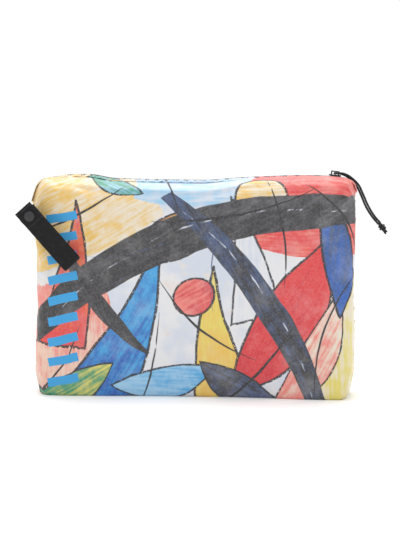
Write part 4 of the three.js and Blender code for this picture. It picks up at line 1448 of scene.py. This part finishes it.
def strap_frames():
    """The strap's middle line and its width direction, from the seam round to the hem."""
    down = np.array([math.cos(STRAP_SLOPE), 0, -math.sin(STRAP_SLOPE)])
    wide = np.array([math.sin(STRAP_SLOPE), 0, math.cos(STRAP_SLOPE)])
    out = np.array([0.0, -1.0, 0.0])
    half_share = STRAP_WIDTH / BAG_HEIGHT
    seam = panel_points(FRONT, np.array([-1.0]), np.array([STRAP_SEAM_UP]))[0]
    edges = panel_points(FRONT, np.array([-1.0, -1.0]),
                         np.array([STRAP_SEAM_UP - half_share, STRAP_SEAM_UP + half_share]))
    seam = np.array([min(seam[0], edges[:, 0].min()), 0, seam[2]])
    across, up = np.meshgrid(np.linspace(-0.95, -0.6, 8), np.linspace(0, 0.75, 16),
                             indexing="ij")
    inner_y = (panel_points(FRONT, across, up)[..., 1].min()
               - SEAM_GAP - STRAP_WALL / 2 - STRAP_CLEARANCE)
    hem = seam + [-STRAP_OUTREACH, 0, STRAP_HEM_RISE]
    hem[1] = inner_y - STRAP_LOOP_GAP - STRAP_WALL

    bend_centre = hem + down * (STRAP_HEM_TO_BEND + STRAP_BEND)
    bend_centre[1] = inner_y + STRAP_BEND
    bend_start = bend_centre - down * STRAP_BEND

    def beside(forward, risen):
        """A point beside the bag, between the seam and the start of the bend."""
        return np.array([seam[0] - STRAP_OUTREACH, bend_start[1] * forward,
                         seam[2] + (bend_start[2] - seam[2]) * risen])

    run = smooth_path([seam + [-SEAM_GAP - STRAP_CLEARANCE, 0, 0],
                       seam - [STRAP_OUTREACH / 2, 0, 0],
                       beside(0.3, 0.25), beside(0.7, 0.7), bend_start], STRAP_RUN_STEPS)
    line, widths = [], []
    for n, point in enumerate(run[:-1]):
        twist = smoothstep(0.2, 1, n / STRAP_RUN_STEPS)
        line.append(point)
        widths.append(unit_vectors(np.array([0, 0, 1.0]) * (1 - twist) + wide * twist))
    for angle in np.linspace(0, math.pi / 2, 8):
        line.append(bend_centre - down * STRAP_BEND * math.cos(angle)
                    + out * STRAP_BEND * math.sin(angle))
        widths.append(wide)
    radius = (STRAP_LOOP_GAP + STRAP_WALL) / 2
    straight = STRAP_REACH - radius - STRAP_WALL / 2
    fold_centre = hem + down * straight
    fold_centre[1] = inner_y - radius
    for angle in np.linspace(0, math.pi, 16):
        line.append(fold_centre + down * radius * math.sin(angle)
                    - out * radius * math.cos(angle))
        widths.append(wide)
    for share in np.linspace(0, 1, 20)[1:]:
        line.append(fold_centre + out * radius - down * straight * share)
        widths.append(wide)
    line, widths = np.array(line), np.array(widths)
    gone = travelled(line)
    places = np.linspace(0, gone[-1], int(gone[-1] / STRAP_STEP))
    line = at_places(line, gone, places)
    widths = unit_vectors(at_places(widths, gone, places))
    return line + SHIFT, widths, places, hem + SHIFT, down, wide


def strap_piece():
    """The strap as one thick sheet along its middle line, and the stitches of its hem."""
    line, widths, places, hem, down, wide = strap_frames()
    normal = unit_vectors(np.cross(np.gradient(line, axis=0), widths))
    share = np.linspace(-1, 1, STRAP_COLUMNS + 1)
    edge = np.where(np.abs(share) > STRAP_EDGE_FROM, STRAP_EDGE_SHARE, 1.0)
    thick = STRAP_THICKNESS / 2 * edge
    ripple = STRAP_RIPPLE * wavy(places, 21, 0.012)
    outer, inner, uv = [], [], []
    for point, width, out, place, wave in zip(line, widths, normal, places, ripple):
        for across, half in zip(share, thick):
            middle = point + width * across * STRAP_WIDTH / 2 + out * wave * across
            outer.append(middle + out * half)
            inner.append(middle - out * half)
            uv.append((across * STRAP_WIDTH / 2, place))
    rows, columns = len(line), STRAP_COLUMNS + 1
    count = rows * columns
    faces = [list(face) for face in grid_faces(rows, columns)]
    faces += [[count + n for n in face[::-1]] for face in faces]
    rim = [(i, 0) for i in range(rows - 1)] + [(rows - 1, j) for j in range(columns - 1)]
    rim += [(i, columns - 1) for i in range(rows - 1, 0, -1)]
    rim += [(0, j) for j in range(columns - 1, 0, -1)]
    rim = [i * columns + j for i, j in rim]
    for here, beyond in zip(rim, rim[1:] + rim[:1]):
        faces.append([here, here + count, beyond + count, beyond])
    piece = covered(mesh_object("strap_webbing", outer + inner, faces, uv=uv + uv), webbing)
    stands_in(piece, "strap")

    lines, tops = [], []
    out = np.array([0.0, -1.0, 0.0])
    reach = np.linspace(-HEM_ROW_REACH, HEM_ROW_REACH, HEM_ROW_POINTS)[:, None] * STRAP_WIDTH
    for from_hem in HEM_ROWS:
        middle = hem + down * from_hem + out * STRAP_THICKNESS / 2
        lines.append(middle + wide * reach)
        tops.append(np.tile(out, (HEM_ROW_POINTS, 1)))
    stitches = row_piece("hem_stitches", lines, tops, stitch_unit(HEM_STITCH_LENGTH),
                         HEM_STITCH_SPACING, black_thread)


strap_piece()


# Snap: outlines of its two turned halves from the back, in shares of their radius and height
CAP_OUTLINE = (
    (0.9, 0.0), (0.985, 0.06), (1.0, 0.2), (0.985, 0.38), (0.93, 0.52), (0.84, 0.6), (0.8, 0.6),
    (0.77, 0.64), (0.74, 0.74), (0.62, 0.86), (0.4, 0.95), (0.2, 0.98), (0.02, 1.0),
)
STUD_OUTLINE = (
    (0.9, 0.0), (1.0, 0.04), (1.0, 0.16), (0.9, 0.22), (0.62, 0.26), (0.58, 0.34), (0.58, 0.5),
    (0.64, 0.54), (0.92, 0.56), (1.0, 0.6), (1.0, 0.92), (0.92, 1.0), (0.02, 1.0),
)
CAP_SUNK = 0.0003


def snap_piece(name, node, outline, sunk):
    """One half of the snap, turned to fill its CAD node and sunk a little into the strap."""
    low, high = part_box(node)
    radius, height = (high.x - low.x) / 2, high.y - low.y
    centre = ((low.x + high.x) / 2, high.y + sunk, (low.z + high.z) / 2)
    profile = [(radius * across, height * up) for across, up in outline]
    stands_in(lathe_piece(name, profile, centre, snap_plastic), node)


snap_piece("snap_top", "snap_cap", CAP_OUTLINE, CAP_SUNK)
snap_piece("snap_inside", "snap_stud", STUD_OUTLINE, 0.0)


# Floor, backdrop and light
FLOOR_HALF = 6.0
BACKDROP_LIGHT = 1.06


def plain_floor():
    shader = Shader("floor", Roughness=0.9, Specular_IOR_Level=0.1)
    coordinates = shader.node("ShaderNodeTexCoord").outputs["Object"]
    tone = shader.noise(coordinates, 3.0)
    colour = shader.mix(tone, (0.955, 0.955, 0.955, 1), (0.965, 0.965, 0.965, 1))
    corners = [(-FLOOR_HALF, -FLOOR_HALF, 0), (FLOOR_HALF, -FLOOR_HALF, 0),
               (FLOOR_HALF, FLOOR_HALF, 0), (-FLOOR_HALF, FLOOR_HALF, 0)]
    floor = covered(mesh_object("floor", corners, [(0, 1, 2, 3)]), shader.finish(colour))


def lamp(name, power, size, place, target):
    light = bpy.data.lights.new(name, "AREA")
    light.energy = power
    light.size = size
    holder = new_object(name, light)
    holder.location = place
    aim = Vector(target) - Vector(place)
    holder.rotation_mode = "QUATERNION"
    holder.rotation_quaternion = aim.to_track_quat("-Z", "Y")


plain_floor()
world = bpy.data.worlds.new("studio")
world.use_nodes = True
backdrop = world.node_tree.nodes["Background"]
backdrop.inputs[0].default_value = (1, 1, 1, 1)
backdrop.inputs[1].default_value = BACKDROP_LIGHT
bpy.context.scene.world = world
lamp("light above", 13, 1.0, (-0.1, 0.35, 1.35), (0, 0, 0.2))
lamp("light in front", 2, 1.0, (0.6, -1.8, 0.9), (0, 0, 0.1))
bpy.context.scene.view_settings.view_transform = "Standard"
